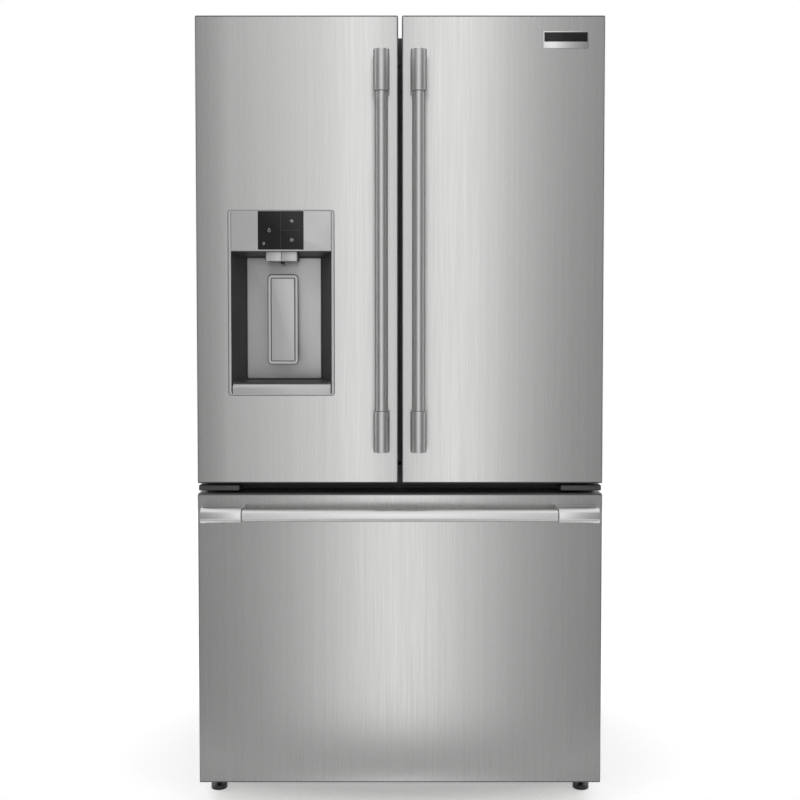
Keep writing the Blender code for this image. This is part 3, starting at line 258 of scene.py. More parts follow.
def spangled(name, colour, roughness):
    """Galvanized sheet with its crystal spangle."""
    made = Finish(name, colour, roughness, 0.85)
    crystals = made.pattern(90.0, kind="ShaderNodeTexVoronoi")
    tone = made.node("ShaderNodeMapRange", From_Min=0.0, From_Max=1.0,
                     To_Min=roughness - 0.10, To_Max=roughness + 0.12)
    apart = made.node("ShaderNodeSeparateColor")
    made.link(crystals.outputs["Color"], apart.inputs["Color"])
    made.link(apart.outputs[0], tone.inputs["Value"])
    made.link(tone.outputs["Result"], made.shader.inputs["Roughness"])
    wander = made.pattern(30.0, 3.0)
    made.vary_colour(wander, 0.05)
    return made.made


def see_through(name, colour, roughness, ior=1.49):
    """Clear plastic or glass with a faint haze."""
    made = Finish(name, colour, roughness, 0.0, IOR=ior, Transmission_Weight=1.0)
    faint = made.pattern(300.0, 1.0)
    made.vary_roughness(faint, 0.02)
    return made.made


def glowing(name, colour, strength):
    """A lit diffuser."""
    made = Finish(name, colour, 0.4, 0.0, Emission_Strength=strength)
    made.shader.inputs["Emission Color"].default_value = (*colour, 1.0)
    frost = made.pattern(700.0, 2.0)
    made.bump(frost, 0.2, 0.00003)
    return made.made


def make_finishes():
    """Every finish of the refrigerator, by name."""
    shade = colours()
    return {
        "stainless": brushed("stainless", shade.steel, 0.30, "Z"),
        "handle_steel": brushed("handle_steel", shade.handle, 0.45, "Z", 0.01, 0.0, 0.006),
        "handle_steel_level": brushed("handle_steel_level", shade.handle, 0.32, "X",
                                      0.01, 0.0, 0.006),
        "case_paint": painted("case_paint", shade.case, 0.45),
        "galvanized": spangled("galvanized", (0.52, 0.53, 0.54), 0.42),
        "zinc_plate": brushed("zinc_plate", (0.50, 0.50, 0.49), 0.38, "X"),
        "black_steel": painted("black_steel", (0.012, 0.012, 0.012), 0.38, 300.0),
        "white_liner": moulded("white_liner", shade.liner, 0.34),
        "foam": moulded("foam", (0.78, 0.70, 0.46), 0.9, 260.0, 0.0006),
        "grey_rubber": moulded("grey_rubber", (0.13, 0.13, 0.135), 0.62, 600.0),
        "dark_plastic": moulded("dark_plastic", (0.030, 0.030, 0.032), 0.42),
        "cap_plastic": moulded("cap_plastic", (0.10, 0.10, 0.105), 0.45),
        "silver_plastic": brushed("silver_plastic", (0.48, 0.48, 0.475), 0.34, "Z"),
        "silver_trim": satin_plastic("silver_trim", (0.60, 0.60, 0.60), 0.34),
        "tray_grey": satin_plastic("tray_grey", (0.34, 0.34, 0.34), 0.40),
        "recess_grey": moulded("recess_grey", (0.055, 0.055, 0.057), 0.45),
        "clear_plastic": see_through("clear_plastic", (0.975, 0.985, 0.99), 0.05),
        "shelf_glass": see_through("shelf_glass", (0.965, 0.99, 0.98), 0.02, 1.52),
        "white_wire": moulded("white_wire", (0.78, 0.79, 0.80), 0.35),
        "copper": brushed("copper", (0.70, 0.36, 0.20), 0.30, "X"),
        "aluminium": brushed("aluminium", (0.72, 0.73, 0.74), 0.35, "X"),
        "black_glass": moulded("black_glass", (0.016, 0.016, 0.017), 0.25, 900.0, 0.000005,
                               Specular_IOR_Level=0.25),
        "icon_white": glowing("icon_white", (0.62, 0.64, 0.66), 0.25),
        "lamp_white": glowing("lamp_white", (0.90, 0.91, 0.94), 0.35),
    }


FINISHES = {}


# ---- modelling helpers ------------------------------------------------------

def block(mesh, low, high):
    """A box between any two opposite corners.  Returns its vertices."""
    low, high = Vector(map(min, low, high)), Vector(map(max, low, high))
    place = Matrix.Translation((low + high) / 2) @ Matrix.Diagonal((*(high - low), 1.0))
    return bmesh.ops.create_cube(mesh, size=1.0, matrix=place)["verts"]


def bar(mesh, start, end, radius, sides=24, far_radius=None):
    """A round bar or cone between two points.  Returns its vertices."""
    start, end = Vector(start), Vector(end)
    run = end - start
    turn = Vector((0, 0, 1)).rotation_difference(run).to_matrix().to_4x4()
    place = Matrix.Translation((start + end) / 2) @ turn
    far = radius if far_radius is None else far_radius
    return bmesh.ops.create_cone(mesh, cap_ends=True, segments=sides, radius1=radius,
                                 radius2=far, depth=run.length, matrix=place)["verts"]


def outward(mesh):
    """Point all faces outwards."""
    bmesh.ops.recalc_face_normals(mesh, faces=mesh.faces[:])


def sharp(mesh, angle):
    """The edges whose faces meet at more than an angle."""
    return [edge for edge in mesh.edges if edge.calc_face_angle(0.0) > angle]


def edges_of(verts):
    """The edges whose two ends are both among these vertices."""
    chosen = set(verts)
    found = dict.fromkeys(edge for vert in verts for edge in vert.link_edges)
    return [edge for edge in found if all(end in chosen for end in edge.verts)]


def soften(mesh, edges, width, segments=3):
    """Round some edges."""
    bmesh.ops.bevel(mesh, geom=list(edges), offset=width, offset_type="OFFSET",
                    segments=segments, profile=0.5, affect="EDGES", material=-1,
                    clamp_overlap=True)


def soft_block(mesh, low, high, width, segments=3):
    """A box with all its edges rounded."""
    soften(mesh, edges_of(block(mesh, low, high)), width, segments)


def parallel(edge, axis):
    """Whether an edge runs along an axis (0, 1 or 2)."""
    run = edge.verts[1].co - edge.verts[0].co
    return all(abs(run[other]) < NEAR for other in range(3) if other != axis)


def linked(name, mesh, material):
    """Turn a bmesh into an object of one material."""
    data = bpy.data.meshes.new(name)
    mesh.to_mesh(data)
    mesh.free()
    data.materials.append(material)
    made = bpy.data.objects.new(name, data)
    bpy.context.scene.collection.objects.link(made)
    return made


def uprights(mesh):
    """The edges that stand upright."""
    return [edge for edge in mesh.edges if parallel(edge, 2)]


def lying(items, axis, place):
    """The edges or faces that lie in a plane across an axis."""
    return [item for item in items
            if all(abs(vert.co[axis] - place) < NEAR for vert in item.verts)]


def along_axis(axis, length):
    """A vector of some length along an axis (0, 1 or 2)."""
    made = Vector((0.0, 0.0, 0.0))
    made[axis] = length
    return made


def face_way(mesh, axis, side, way):
    """Turn an open shell so that its face furthest to one side looks one way."""
    outward(mesh)
    far = max(mesh.faces, key=lambda face: side * face.calc_center_median()[axis])
    if far.normal[axis] * way < 0:
        bmesh.ops.reverse_faces(mesh, faces=mesh.faces[:])


def push(mesh, faces, shift):
    """Draw faces out into a body."""
    grown = bmesh.ops.extrude_face_region(mesh, geom=faces)["geom"]
    moved = [item for item in grown if isinstance(item, bmesh.types.BMVert)]
    bmesh.ops.translate(mesh, verts=moved, vec=shift)


def spaced(start, end, count):
    """Evenly spaced places from start to end."""
    return [start + (end - start) * number / (count - 1) for number in range(count)]


def finish_piece(name, mesh, body, look, angle=35.0, recalc=True):
    """Turn a bmesh into a piece that rides on a body.  look is (slot, finish); its slot is
    not used.
    """
    slot_name, finish_name = look
    if recalc:
        outward(mesh)
    made = linked(name, mesh, FINISHES[finish_name])
    made.data.shade_smooth()
    made.data.set_sharp_from_angle(angle=radians(angle))
    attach(made, body)
    return made


def single(name, body, look, shape, *places, angle=35.0, **settings):
    """A piece that one shape function makes."""
    mesh = bmesh.new()
    shape(mesh, *places, **settings)
    return finish_piece(name, mesh, body, look, angle)


def cut_window(mesh, low, high, axes):
    """Cut a rectangle out of the faces of an open sheet."""
    for axis in axes:
        for place in (low[axis], high[axis]):
            bmesh.ops.bisect_plane(mesh, geom=mesh.verts[:] + mesh.edges[:] + mesh.faces[:],
                                   plane_co=along_axis(axis, place),
                                   plane_no=along_axis(axis, 1.0), dist=SAME)
    inside = []
    for face in mesh.faces:
        centre = face.calc_center_median()
        if all(low[axis] < centre[axis] < high[axis] for axis in range(3)):
            inside.append(face)
    bmesh.ops.delete(mesh, geom=inside, context="FACES")


# ---- doors ------------------------------------------------------------------

def door_skin(name, skin, body, window=None):
    """A folded steel skin: round front corners, open back, caps left off."""
    low, high = skin
    cap = sizes().cap_thickness
    sheet = bmesh.new()
    block(sheet, (low.x, low.y, low.z + cap), (high.x, high.y, high.z - cap))
    front = [edge for edge in uprights(sheet) if edge.verts[0].co.y < low.y + HAIR]
    soften(sheet, front, sizes().skin_edge, 5)
    open_faces = [face for face in sheet.faces
                  if abs(face.normal.z) > 0.9 or face.normal.y > 0.9]
    bmesh.ops.delete(sheet, geom=open_faces, context="FACES")
    if window is not None:
        cut_window(sheet, (window[0].x, low.y - 0.001, window[0].z),
                   (window[1].x, low.y + 0.001, window[1].z), (0, 2))
    outward(sheet)
    bmesh.ops.solidify(sheet, geom=sheet.faces[:], thickness=0.001)
    made = finish_piece(name, sheet, body, ("stainless", "stainless"), 30.0)
    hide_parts(f"{name.removesuffix('_steel')}_skin")
    return made


def end_cap(name, skin, body, top):
    """The thin plastic cap at a door's top or bottom."""
    low, high = skin
    cap = sizes().cap_thickness
    inset = 0.0006
    floor = high.z - cap if top else low.z
    mesh = bmesh.new()
    block(mesh, (low.x + inset, low.y + inset, floor),
          (high.x - inset, high.y, floor + cap))
    front = [edge for edge in uprights(mesh) if edge.verts[0].co.y < low.y + 2 * inset]
    soften(mesh, front, sizes().skin_edge, 5)
    outer = [edge for edge in mesh.edges
             if all((vert.co.z > floor + cap / 2) == top for vert in edge.verts)]
    soften(mesh, outer, cap * 0.35, 2)
    return finish_piece(name, mesh, body, CHARCOAL)


class REFRIGERATOR_OT_doors(bpy.types.Operator):
    """Make the steel skins of the two doors and the drawer, with their end caps"""

    bl_idname = "refrigerator.doors"
    bl_label = "Door Skins"

    def execute(self, context):
        inset = 0.003
        window = (DISPENSER[0] + Vector((inset, 0, inset)),
                  DISPENSER[1] - Vector((inset, 0, inset)))
        door_skin("left_door_steel", LEFT_SKIN, "left_door", window)
        door_skin("right_door_steel", RIGHT_SKIN, "right_door")
        door_skin("drawer_steel", DRAWER_SKIN, "freezer_drawer")
        doors = (("left_door", LEFT_SKIN, "left_door"),
                 ("right_door", RIGHT_SKIN, "right_door"),
                 ("drawer", DRAWER_SKIN, "freezer_drawer"))
        for label, skin, body in doors:
            end_cap(f"{label}_top_cap", skin, body, True)
            end_cap(f"{label}_bottom_cap", skin, body, False)
        return {"FINISHED"}


# ---- handles ----------------------------------------------------------------

HANDLE_LOOKS = {0: ("handle_steel", "handle_steel_level"),
                2: ("handle_steel", "handle_steel")}       # by the axis it runs along
SOCKET = 0.012                    # how far a post reaches over its tube


def handle_post(name, node, body, along):
    """A post: round in front, straight back to the door, with softened ends."""
    low, high = corners(node)
    centre = (low + high) / 2
    side = 2 if along == 0 else 0
    radius = (high[side] - low[side]) / 2
    axis_y = low.y + radius
    mesh = bmesh.new()

    def corner(aside, y):
        point = Vector((0.0, y, 0.0))
        point[along], point[side] = low[along], centre[side] + aside
        return mesh.verts.new(point)

    ring = [corner(radius * cos(angle), axis_y + radius * sin(angle))
            for angle in spaced(pi, 2 * pi, sizes().tube_sides // 2 + 1)]
    ring += [corner(radius, high.y), corner(-radius, high.y)]
    push(mesh, [mesh.faces.new(ring)], along_axis(along, high[along] - low[along]))
    outward(mesh)
    rims = [edge for edge in mesh.edges
            if abs(edge.verts[0].co[along] - edge.verts[1].co[along]) < SAME
            and min(edge.verts[0].co.y, edge.verts[1].co.y) < high.y - NEAR]
    soften(mesh, rims, sizes().post_edge, 4)
    made = finish_piece(name, mesh, body, HANDLE_LOOKS[along], 40.0)
    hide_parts(node)
    return made


def handle_tube(name, node, body, along):
    """The bar, with a narrow dark joint near each end, where it enters a post."""
    low, high = corners(node)
    centre = (low + high) / 2
    start, end = centre.copy(), centre.copy()
    start[along], end[along] = low[along], high[along]
    radius = (high.y - low.y) / 2
    made = single(name, body, HANDLE_LOOKS[along], bar, start, end, radius,
                  sizes().tube_sides, angle=40.0)
    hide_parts(node)
    joints = ((low[along] + SOCKET, 1), (high[along] - SOCKET, -1))
    for number, (place, way) in enumerate(joints):
        start[along], end[along] = place - way * 0.004, place + way * 0.0008
        single(f"{name}_joint_{number}", body, BLACK, bar, start, end, radius + 0.0007,
               sizes().tube_sides)


class REFRIGERATOR_OT_handles(bpy.types.Operator):
    """Make the three bar handles with their end posts"""

    bl_idname = "refrigerator.handles"
    bl_label = "Handles"

    def execute(self, context):
        for _, label in SIDES:
            body = f"{label}_door"
            handle_tube(f"{label}_handle_bar", f"{label}_handle_tube", body, 2)
            for end in ("upper", "lower"):
                handle_post(f"{label}_handle_{end}_end", f"{label}_handle_{end}_post",
                            body, 2)
            handle_post(f"drawer_handle_{label}_end", f"drawer_handle_{label}_post",
                        "freezer_drawer", 0)
        handle_tube("drawer_handle_bar", "drawer_handle_tube", "freezer_drawer", 0)
        return {"FINISHED"}


# ---- badge ------------------------------------------------------------------

BADGE_RIGHT = 0.415               # the badge's right edge
BADGE_DROP = 0.035                # its top below the door's top
BADGE_BORDER = 0.0024             # bright edge round its dark band
BADGE_BAND = 0.62                 # the dark band's share of its height


class REFRIGERATOR_OT_badge(bpy.types.Operator):
    """Make the blank badge near the right door's top corner"""

    bl_idname = "refrigerator.badge"
    bl_label = "Badge"

    def execute(self, context):
        wide, tall = sizes().badge_width, sizes().badge_height
        right, top = BADGE_RIGHT, RIGHT_SKIN[1].z - BADGE_DROP
        low = Vector((right - wide, FACE_Y - 0.0022, top - tall))
        single("badge_plate", "right_door", ("handle_steel", "handle_steel_level"),
               soft_block, low, (right, FACE_Y - HAIR / 3, top), 0.0006, 2)
        border = BADGE_BORDER
        split = top - tall * BADGE_BAND
        single("badge_dark_band", "right_door", ("dark_plastic", "black_glass"), soft_block,
               (low.x + border, low.y - 0.0006, split),
               (right - border, low.y + 0.0004, top - border), 0.0002, 2)
        return {"FINISHED"}


# ---- more shapes ------------------------------------------------------------

def rounded_outline(mesh, low, high, radius, y):
    """A rectangle with round corners that stands at y, from (x, z) to (x, z).
    Returns its face."""
    before = set(mesh.faces)
    place = (Matrix.Translation(((low[0] + high[0]) / 2, y, (low[1] + high[1]) / 2))
             @ Matrix.Rotation(pi / 2, 4, "X")
             @ Matrix.Diagonal((high[0] - low[0], high[1] - low[1], 1.0, 1.0)))
    made = bmesh.ops.create_grid(mesh, x_segments=1, y_segments=1, size=0.5, matrix=place)
    if radius > 0:
        bmesh.ops.bevel(mesh, geom=made["verts"], offset=radius, offset_type="OFFSET",
                        segments=6, profile=0.5, affect="VERTICES", material=-1)
    return next(face for face in mesh.faces if face not in before)


def loop_only(mesh, face):
    """Drop a face and keep its edges."""
    edges = list(face.edges)
    bmesh.ops.delete(mesh, geom=[face], context="FACES_ONLY")
    return edges


def front_rims(mesh, y):
    """The sharp edges that lie in the plane at y."""
    return [edge for edge in lying(mesh.edges, 1, y)
            if len(edge.link_faces) == 2 and edge.calc_face_angle(0.0) > 0.8]


def plate(mesh, low, high, radius, y, depth, edge=0.0, hole=None):
    """A plate with round corners and softened front edges.  hole is (low, high,
    radius) of an opening."""
    faces = [rounded_outline(mesh, low, high, radius, y)]
    if hole is not None:
        rims = loop_only(mesh, faces[0])
        rims += loop_only(mesh, rounded_outline(mesh, *hole, y))
        faces = bmesh.ops.bridge_loops(mesh, edges=rims)["faces"]
    push(mesh, faces, (0, depth, 0))
    outward(mesh)
    if edge:
        soften(mesh, front_rims(mesh, y), edge, 3)


def funnel(mesh, mouth, end, radius, bend, wall):
    """An open recess from a mouth (low, high, y) to a smaller closed end with
    rounded corners.  Its wall grows outwards."""
    rims = loop_only(mesh, rounded_outline(mesh, mouth[0], mouth[1], radius, mouth[2]))
    closed = rounded_outline(mesh, end[0], end[1], radius, end[2])
    around = list(closed.edges)
    bmesh.ops.bridge_loops(mesh, edges=rims + around)
    soften(mesh, [edge for edge in around if edge.is_valid], bend, 4)
    face_way(mesh, 1, 1, -1)
    bmesh.ops.solidify(mesh, geom=mesh.faces[:], thickness=wall)


def section(mesh, outline, start, end, edge, angle=0.4, segments=2):
    """An outline of (y, z) places drawn along x from start to end, with its sharp
    edges softened."""
    ring = [mesh.verts.new((start, y, z)) for y, z in outline]
    push(mesh, [mesh.faces.new(ring)], (end - start, 0, 0))
    outward(mesh)
    soften(mesh, sharp(mesh, angle), edge, segments)


def framed(mesh, low, high, outline):
    """One section carried round a rectangle with mitred corners.  low and high
    are (x, z), and outline is (inwards, y) places."""
    loops = []
    for across, up in ((low[0], low[1]), (high[0], low[1]), (high[0], high[1]),
                       (low[0], high[1])):
        right = 1 if across == low[0] else -1
        above = 1 if up == low[1] else -1
        ring = [mesh.verts.new((across + right * inward, y, up + above * inward))
                for inward, y in outline]
        loops.append([mesh.edges.new((ring[number - 1], ring[number]))
                      for number in range(len(ring))])
    for first, second in zip(loops, loops[1:] + loops[:1]):
        bmesh.ops.bridge_loops(mesh, edges=first + second)


def open_bin(mesh, low, high, wall, radius, taper=0.0):
    """A tray or bin with round upright corners, open at the top."""
    block(mesh, low, high)
    soften(mesh, uprights(mesh), radius, 5)
    if taper:
        bottom = [vert for vert in mesh.verts if vert.co.z < low[2] + SAME]
        centre = (Vector(low) + Vector(high)) / 2
        bmesh.ops.scale(mesh, verts=bottom, vec=(1 - taper, 1 - taper, 1.0),
                        space=Matrix.Translation((-centre.x, -centre.y, 0.0)))
    soften(mesh, lying(mesh.edges, 2, low[2]), radius * 0.6, 4)
    bmesh.ops.delete(mesh, geom=lying(mesh.faces, 2, high[2]), context="FACES")
    face_way(mesh, 2, -1, -1)
    bmesh.ops.solidify(mesh, geom=mesh.faces[:], thickness=wall)


# ---- water and ice dispenser ------------------------------------------------

FASCIA_HEIGHT = 0.0906            # top of the dispenser down to the recess
RECESS_FLOOR = 0.029              # recess floor above the dispenser's lower edge
MOUTH_HALF = 0.1116               # half-width of the recess at the front
BACK_HALF = 0.0853                # half-width of its back wall
CHUTE_HALF = 0.0345
CHUTE_DROP = 0.022
CHUTE_SET_BACK = 0.0055           # the chute's covers behind the doors' front plane
CHUTE_DEPTH = 0.018
PANEL_SHIFT = 0.0007              # touch panel, left of the dispenser's middle
PANEL_TOP = 0.0016                # its top and foot below the dispenser's top
PANEL_FOOT = 0.0877
PADDLE_BORDER = 0.0070            # width of the lever's rim
GRILLE_SLOTS = 22
SEAM = 0.0012                     # dark joint round the dispenser
PADDLE = corners("dispenser_paddle")
TRAY = corners("drip_tray")


def bezel():
    """The dark joint, the bright rim and the fascia round the recess."""
    low, high = DISPENSER
    face = low.y
    mouth_low = (low.x + 0.006, low.z + 0.003)
    mouth_high = (high.x - 0.006, high.z - 0.004)
    made = single("dispenser_seam", "left_door", BLACK, plate, (low.x, low.z),
                  (high.x, high.z), 0.0065, face + 0.0012, 0.0008,
                  hole=(mouth_low, mouth_high, 0.003))
    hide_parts("dispenser_housing")
    single("dispenser_rim", "left_door", SILVER, plate, (low.x + SEAM, low.z + SEAM),
           (high.x - SEAM, high.z - SEAM), 0.0055, face, 0.0035, 0.0010,
           hole=((low.x + 0.0068, low.z + 0.0035), (high.x - 0.0068, high.z - 0.0030),
                 0.0030))
    bottom = high.z - FASCIA_HEIGHT
    single("dispenser_fascia", "left_door", SILVER, plate, (low.x + 0.0075, bottom),
           (high.x - 0.0075, high.z - 0.0020), 0.0004, face + 0.0004, 0.0040, 0.0012)
    single("dispenser_fascia_lip", "left_door", CHARCOAL, soft_block,
           (low.x + 0.0080, face + 0.0014, bottom - 0.0012),
           (high.x - 0.0080, face + 0.0060, bottom - 0.0001), 0.0004, 2)


def recess():
    """The tapered recess with its back plate and the tray's slot."""
    low, high = DISPENSER
    centre = (low.x + high.x) / 2
    floor_z = low.z + RECESS_FLOOR
    top = high.z - FASCIA_HEIGHT
    start, end = FACE_Y + 0.0014, high.y - 0.006
    single("dispenser_recess", "left_door", ("dark_plastic", "recess_grey"), funnel,
           ((centre - MOUTH_HALF, floor_z), (centre + MOUTH_HALF, top), start),
           ((centre - BACK_HALF, floor_z + 0.004), (centre + BACK_HALF, top - 0.010), end),
           0.0015, 0.004, 0.0012, angle=40.0)
    single("dispenser_back_plate", "left_door", SILVER, plate,
           (centre - BACK_HALF + 0.0012, floor_z + 0.0062),
           (centre + BACK_HALF - 0.0012, top - 0.0118), 0.0030, end - 0.0024, 0.0020,
           0.0016)
    slot = ((TRAY[0].x - HAIR, TRAY[0].z - HAIR), (TRAY[1].x + HAIR, floor_z))
    single("drip_tray_slot", "left_door", BLACK, funnel, (*slot, start),
           (*slot, TRAY[1].y + 0.0008), 0.0006, 0.0006, 0.0006)


def chute():
    """The ice chute's two half covers, its shroud, and the nozzle."""
    low, high = DISPENSER
    centre = (low.x + high.x) / 2
    top = high.z - FASCIA_HEIGHT
    front = FACE_Y + CHUTE_SET_BACK
    covers = bmesh.new()
    split = 0.00025
    for side in (-1, 1):
        soft_block(covers, (centre + side * CHUTE_HALF, front, top - CHUTE_DROP),
                   (centre + side * split, front + CHUTE_DEPTH, top + 0.004), 0.0010)
    finish_piece("ice_chute_covers", covers, "left_door", SILVER)
    single("ice_chute_shroud", "left_door", CHARCOAL, soft_block,
           (centre - CHUTE_HALF - 0.0024, front + 0.006, top - CHUTE_DROP + 0.0006),
           (centre + CHUTE_HALF + 0.0024, front + 0.040, top + 0.003), 0.0020)
    nozzle = bmesh.new()
    bar(nozzle, (centre, front + 0.028, top - CHUTE_DROP + 0.004),
        (centre, front + 0.028, top - CHUTE_DROP - 0.006), 0.0050, 24, 0.0040)
    soften(nozzle, sharp(nozzle, 1.0), 0.0008, 2)
    finish_piece("water_nozzle", nozzle, "left_door", BLACK)


def stroke(mesh, start, end, width, y):
    """A flat stroke between two (x, z) places, a hair proud of the glass."""
    start, end = Vector(start), Vector(end)
    run = end - start
    place = (Matrix.Translation(((start.x + end.x) / 2, y, (start.y + end.y) / 2))
             @ Matrix.Rotation(-atan2(run.y, run.x), 4, "Y")
             @ Matrix.Diagonal((run.length, 0.0002, width, 1.0)))
    bmesh.ops.create_cube(mesh, size=1.0, matrix=place)


def arc(radius, turn, step, count, lift=0.0):
    """Places round a circle, from an angle and at equal steps."""
    return [(radius * cos(turn + number * step), radius * sin(turn + number * step) + lift)
            for number in range(count)]


def icons(panel_low, panel_high, y):
    """Four generic signs: a drop, a cube, crushed pieces and a lamp."""
    wide, tall = panel_high[0] - panel_low[0], panel_high[1] - panel_low[1]
    line = 0.0005
    signs = bmesh.new()

    def spot(across, up):
        return Vector((panel_low[0] + wide * across, panel_low[1] + tall * up))

    def closed(points, centre):
        for number, point in enumerate(points):
            stroke(signs, centre + Vector(points[number - 1]), centre + Vector(point), line,
                   y)

    size = 0.0036
    drop = arc(size * 0.72, -10 * pi / 9, pi / 9, 12, -size * 0.4) + [(0.0, size * 1.3)]
    closed(drop, spot(0.25, 0.50))
    cube = spot(0.74, 0.25)
    hexagon = arc(size, pi / 6, pi / 3, 6)
    closed(hexagon, cube)
    for step in (0, 2, 4):
        stroke(signs, cube, cube + Vector(hexagon[step]), line, y)
    for shift, turn in (((-0.0026, 0.0), 0.3), ((0.0006, 0.0016), 0.9),
                        ((0.0028, -0.0010), 0.1), ((0.0002, -0.0022), 1.3)):
        closed(arc(0.0013, turn, pi * 0.62, 3), spot(0.74, 0.74) + Vector(shift))
    lamp = spot(0.13, 0.16)
    closed(arc(0.0021, -3 * pi / 8, pi / 8, 15, 0.0008), lamp)
    for foot in (-0.0022, -0.0032):
        stroke(signs, lamp + Vector((-0.0009, foot)), lamp + Vector((0.0009, foot)), line,
               y)
    finish_piece("touch_panel_signs", signs, "left_door", ("clear_plastic", "icon_white"))


def touch_panel():
    """The dark glass panel, its dividing lines and signs."""
    low, high = DISPENSER
    wide = sizes().glass_width
    centre = (low.x + high.x) / 2 - PANEL_SHIFT
    panel_low = (centre - wide / 2, high.z - PANEL_FOOT)
    panel_high = (centre + wide / 2, high.z - PANEL_TOP)
    face = low.y + 0.0001
    single("touch_panel", "left_door", ("dark_plastic", "black_glass"), plate, panel_low,
           panel_high, 0.0012, face, 0.0030, 0.0004)
    lines = bmesh.new()
    middle_z = (panel_low[1] + panel_high[1]) / 2
    stroke(lines, (centre, panel_low[1] + 0.004), (centre, panel_high[1] - 0.004), 0.0004,
           face)
    stroke(lines, (centre + 0.003, middle_z), (panel_high[0] - 0.003, middle_z), 0.0004,
           face)
    finish_piece("touch_panel_lines", lines, "left_door", CHARCOAL)
    icons(panel_low, panel_high, face)


def paddle():
    """The lever that is pressed: a rim, its shadow joint and the inner plate."""
    low, high = PADDLE
    top = high.z - 0.0025
    face = low.y + 0.0022
    inset, border = 0.0010, PADDLE_BORDER
    made = single("paddle_backing", "dispenser_paddle", BLACK, plate, (low.x, low.z),
                  (high.x, top), 0.0090, face + 0.0012, 0.0030)
    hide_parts("dispenser_paddle")
    single("paddle_rim", "dispenser_paddle", SILVER, plate, (low.x + inset, low.z + inset),
           (high.x - inset, top - 2 * inset), 0.0082, face, 0.0016, 0.0010,
           hole=((low.x + border, low.z + border), (high.x - border, top - border - inset),
                 0.0028))
    single("paddle_plate", "dispenser_paddle", SILVER, plate,
           (low.x + border + 0.0016, low.z + border + 0.0016),
           (high.x - border - 0.0016, top - border - 0.0026), 0.0016, face + 0.0004, 0.0016,
           0.0007)
    ears = bmesh.new()
    middle_x = (low.x + high.x) / 2
    for side in (-1, 1):
        soft_block(ears, (middle_x + side * 0.020 - 0.002, face + 0.0064, top - 0.011),
                   (middle_x + side * 0.020 + 0.002, DISPENSER[1].y - 0.008, top - 0.003),
                   0.0006, 2)
    finish_piece("paddle_ears", ears, "left_door", BLACK)


def drip_tray():
    """The tray: its sloped front bar, the basin and the grille."""
    low, high = TRAY
    front = low.y
    crease = low.z + 0.0130
    made = single("drip_tray_front", "drip_tray", SILVER, section,
                  ((front - 0.0002, low.z - 0.0030), (front - 0.0002, crease),
                   (front + 0.0070, high.z + 0.0006), (front + 0.0105, high.z + 0.0006),
                   (front + 0.0105, high.z - 0.0040), (front + 0.0035, crease - 0.004),
                   (front + 0.0035, low.z - 0.0030)), low.x - 0.0035, high.x + 0.0035,
                  0.0008, 0.3, 3)
    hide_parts("drip_tray")
    single("drip_tray_basin", "drip_tray", CHARCOAL, open_bin,
           (low.x + HAIR, front + 0.0040, low.z + HAIR),
           (high.x - HAIR, high.y - HAIR, high.z - 0.0022), 0.0012, 0.004)
    grille = bmesh.new()
    for across in spaced(low.x + 0.006, high.x - 0.006, GRILLE_SLOTS + 1):
        soft_block(grille, (across - 0.0016, front + 0.0100, high.z - 0.0020),
                   (across + 0.0016, high.y - 0.0030, high.z), 0.0005, 2)
    for y in (front + 0.0106, (front + high.y) / 2 + 0.003, high.y - 0.0062):
        soft_block(grille, (low.x + 0.0016, y, high.z - 0.0022),
                   (high.x - 0.0016, y + 0.0040, high.z - 0.0004), 0.0004, 2)
    finish_piece("drip_tray_grille", grille, "drip_tray", ("silver_plastic", "tray_grey"))


class REFRIGERATOR_OT_dispenser(bpy.types.Operator):
    """Make the dispenser's rim, fascia, recess, chute, touch panel, lever and tray"""

    bl_idname = "refrigerator.dispenser"
    bl_label = "Dispenser"

    def execute(self, context):
        bezel()
        recess()
        chute()
        touch_panel()
        paddle()
        drip_tray()
        return {"FINISHED"}


# ---- seals and the middle of the opening ------------------------------------

CASE_Y = corners("cabinet_shell")[0].y
FLIPPER = corners("flipper_mullion")
RAIL = corners("mullion_rail")
DRAWER_GAP_SHADE_SPAN = (0.7115, 0.7445)       # foot and top of the painted shade sheet in the gap above the drawer
GAP_SHADE_FOOT = 0.7450                 # foot of the painted shade sheets behind the folding bar, in the gap between the doors
GAP_SHADE_HALF = 0.0195                 # their half-width
GAP_SHADE_CLEAR = 0.0075                # their distance from the bar's ends
HINGE_SPAN = (0.3600, 0.4510)     # a middle hinge cover, from the middle outwards


def gasket(node, body):
    """A bellows seal with its magnet tube, round one door's back."""
    low, high = corners(node)
    back, front = high.y, low.y
    deep = back - front
    outline = ((0.0030, front), (0.0130, front), (0.0130, front + deep * 0.16),
               (0.0110, front + deep * 0.24), (0.0145, front + deep * 0.36),
               (0.0115, front + deep * 0.50), (0.0150, front + deep * 0.60),
               (0.0156, front + deep * 0.78), (0.0150, back), (0.0020, back),
               (0.0006, front + deep * 0.78), (0.0012, front + deep * 0.60),
               (0.0045, front + deep * 0.50), (0.0015, front + deep * 0.36),
               (0.0050, front + deep * 0.24), (0.0030, front + deep * 0.16))
    mesh = bmesh.new()
    framed(mesh, (low.x, low.z), (high.x, high.z), outline)
    made = finish_piece(f"{node}_bellows", mesh, body, ("grey_rubber", "grey_rubber"), 50.0)
    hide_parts(node)


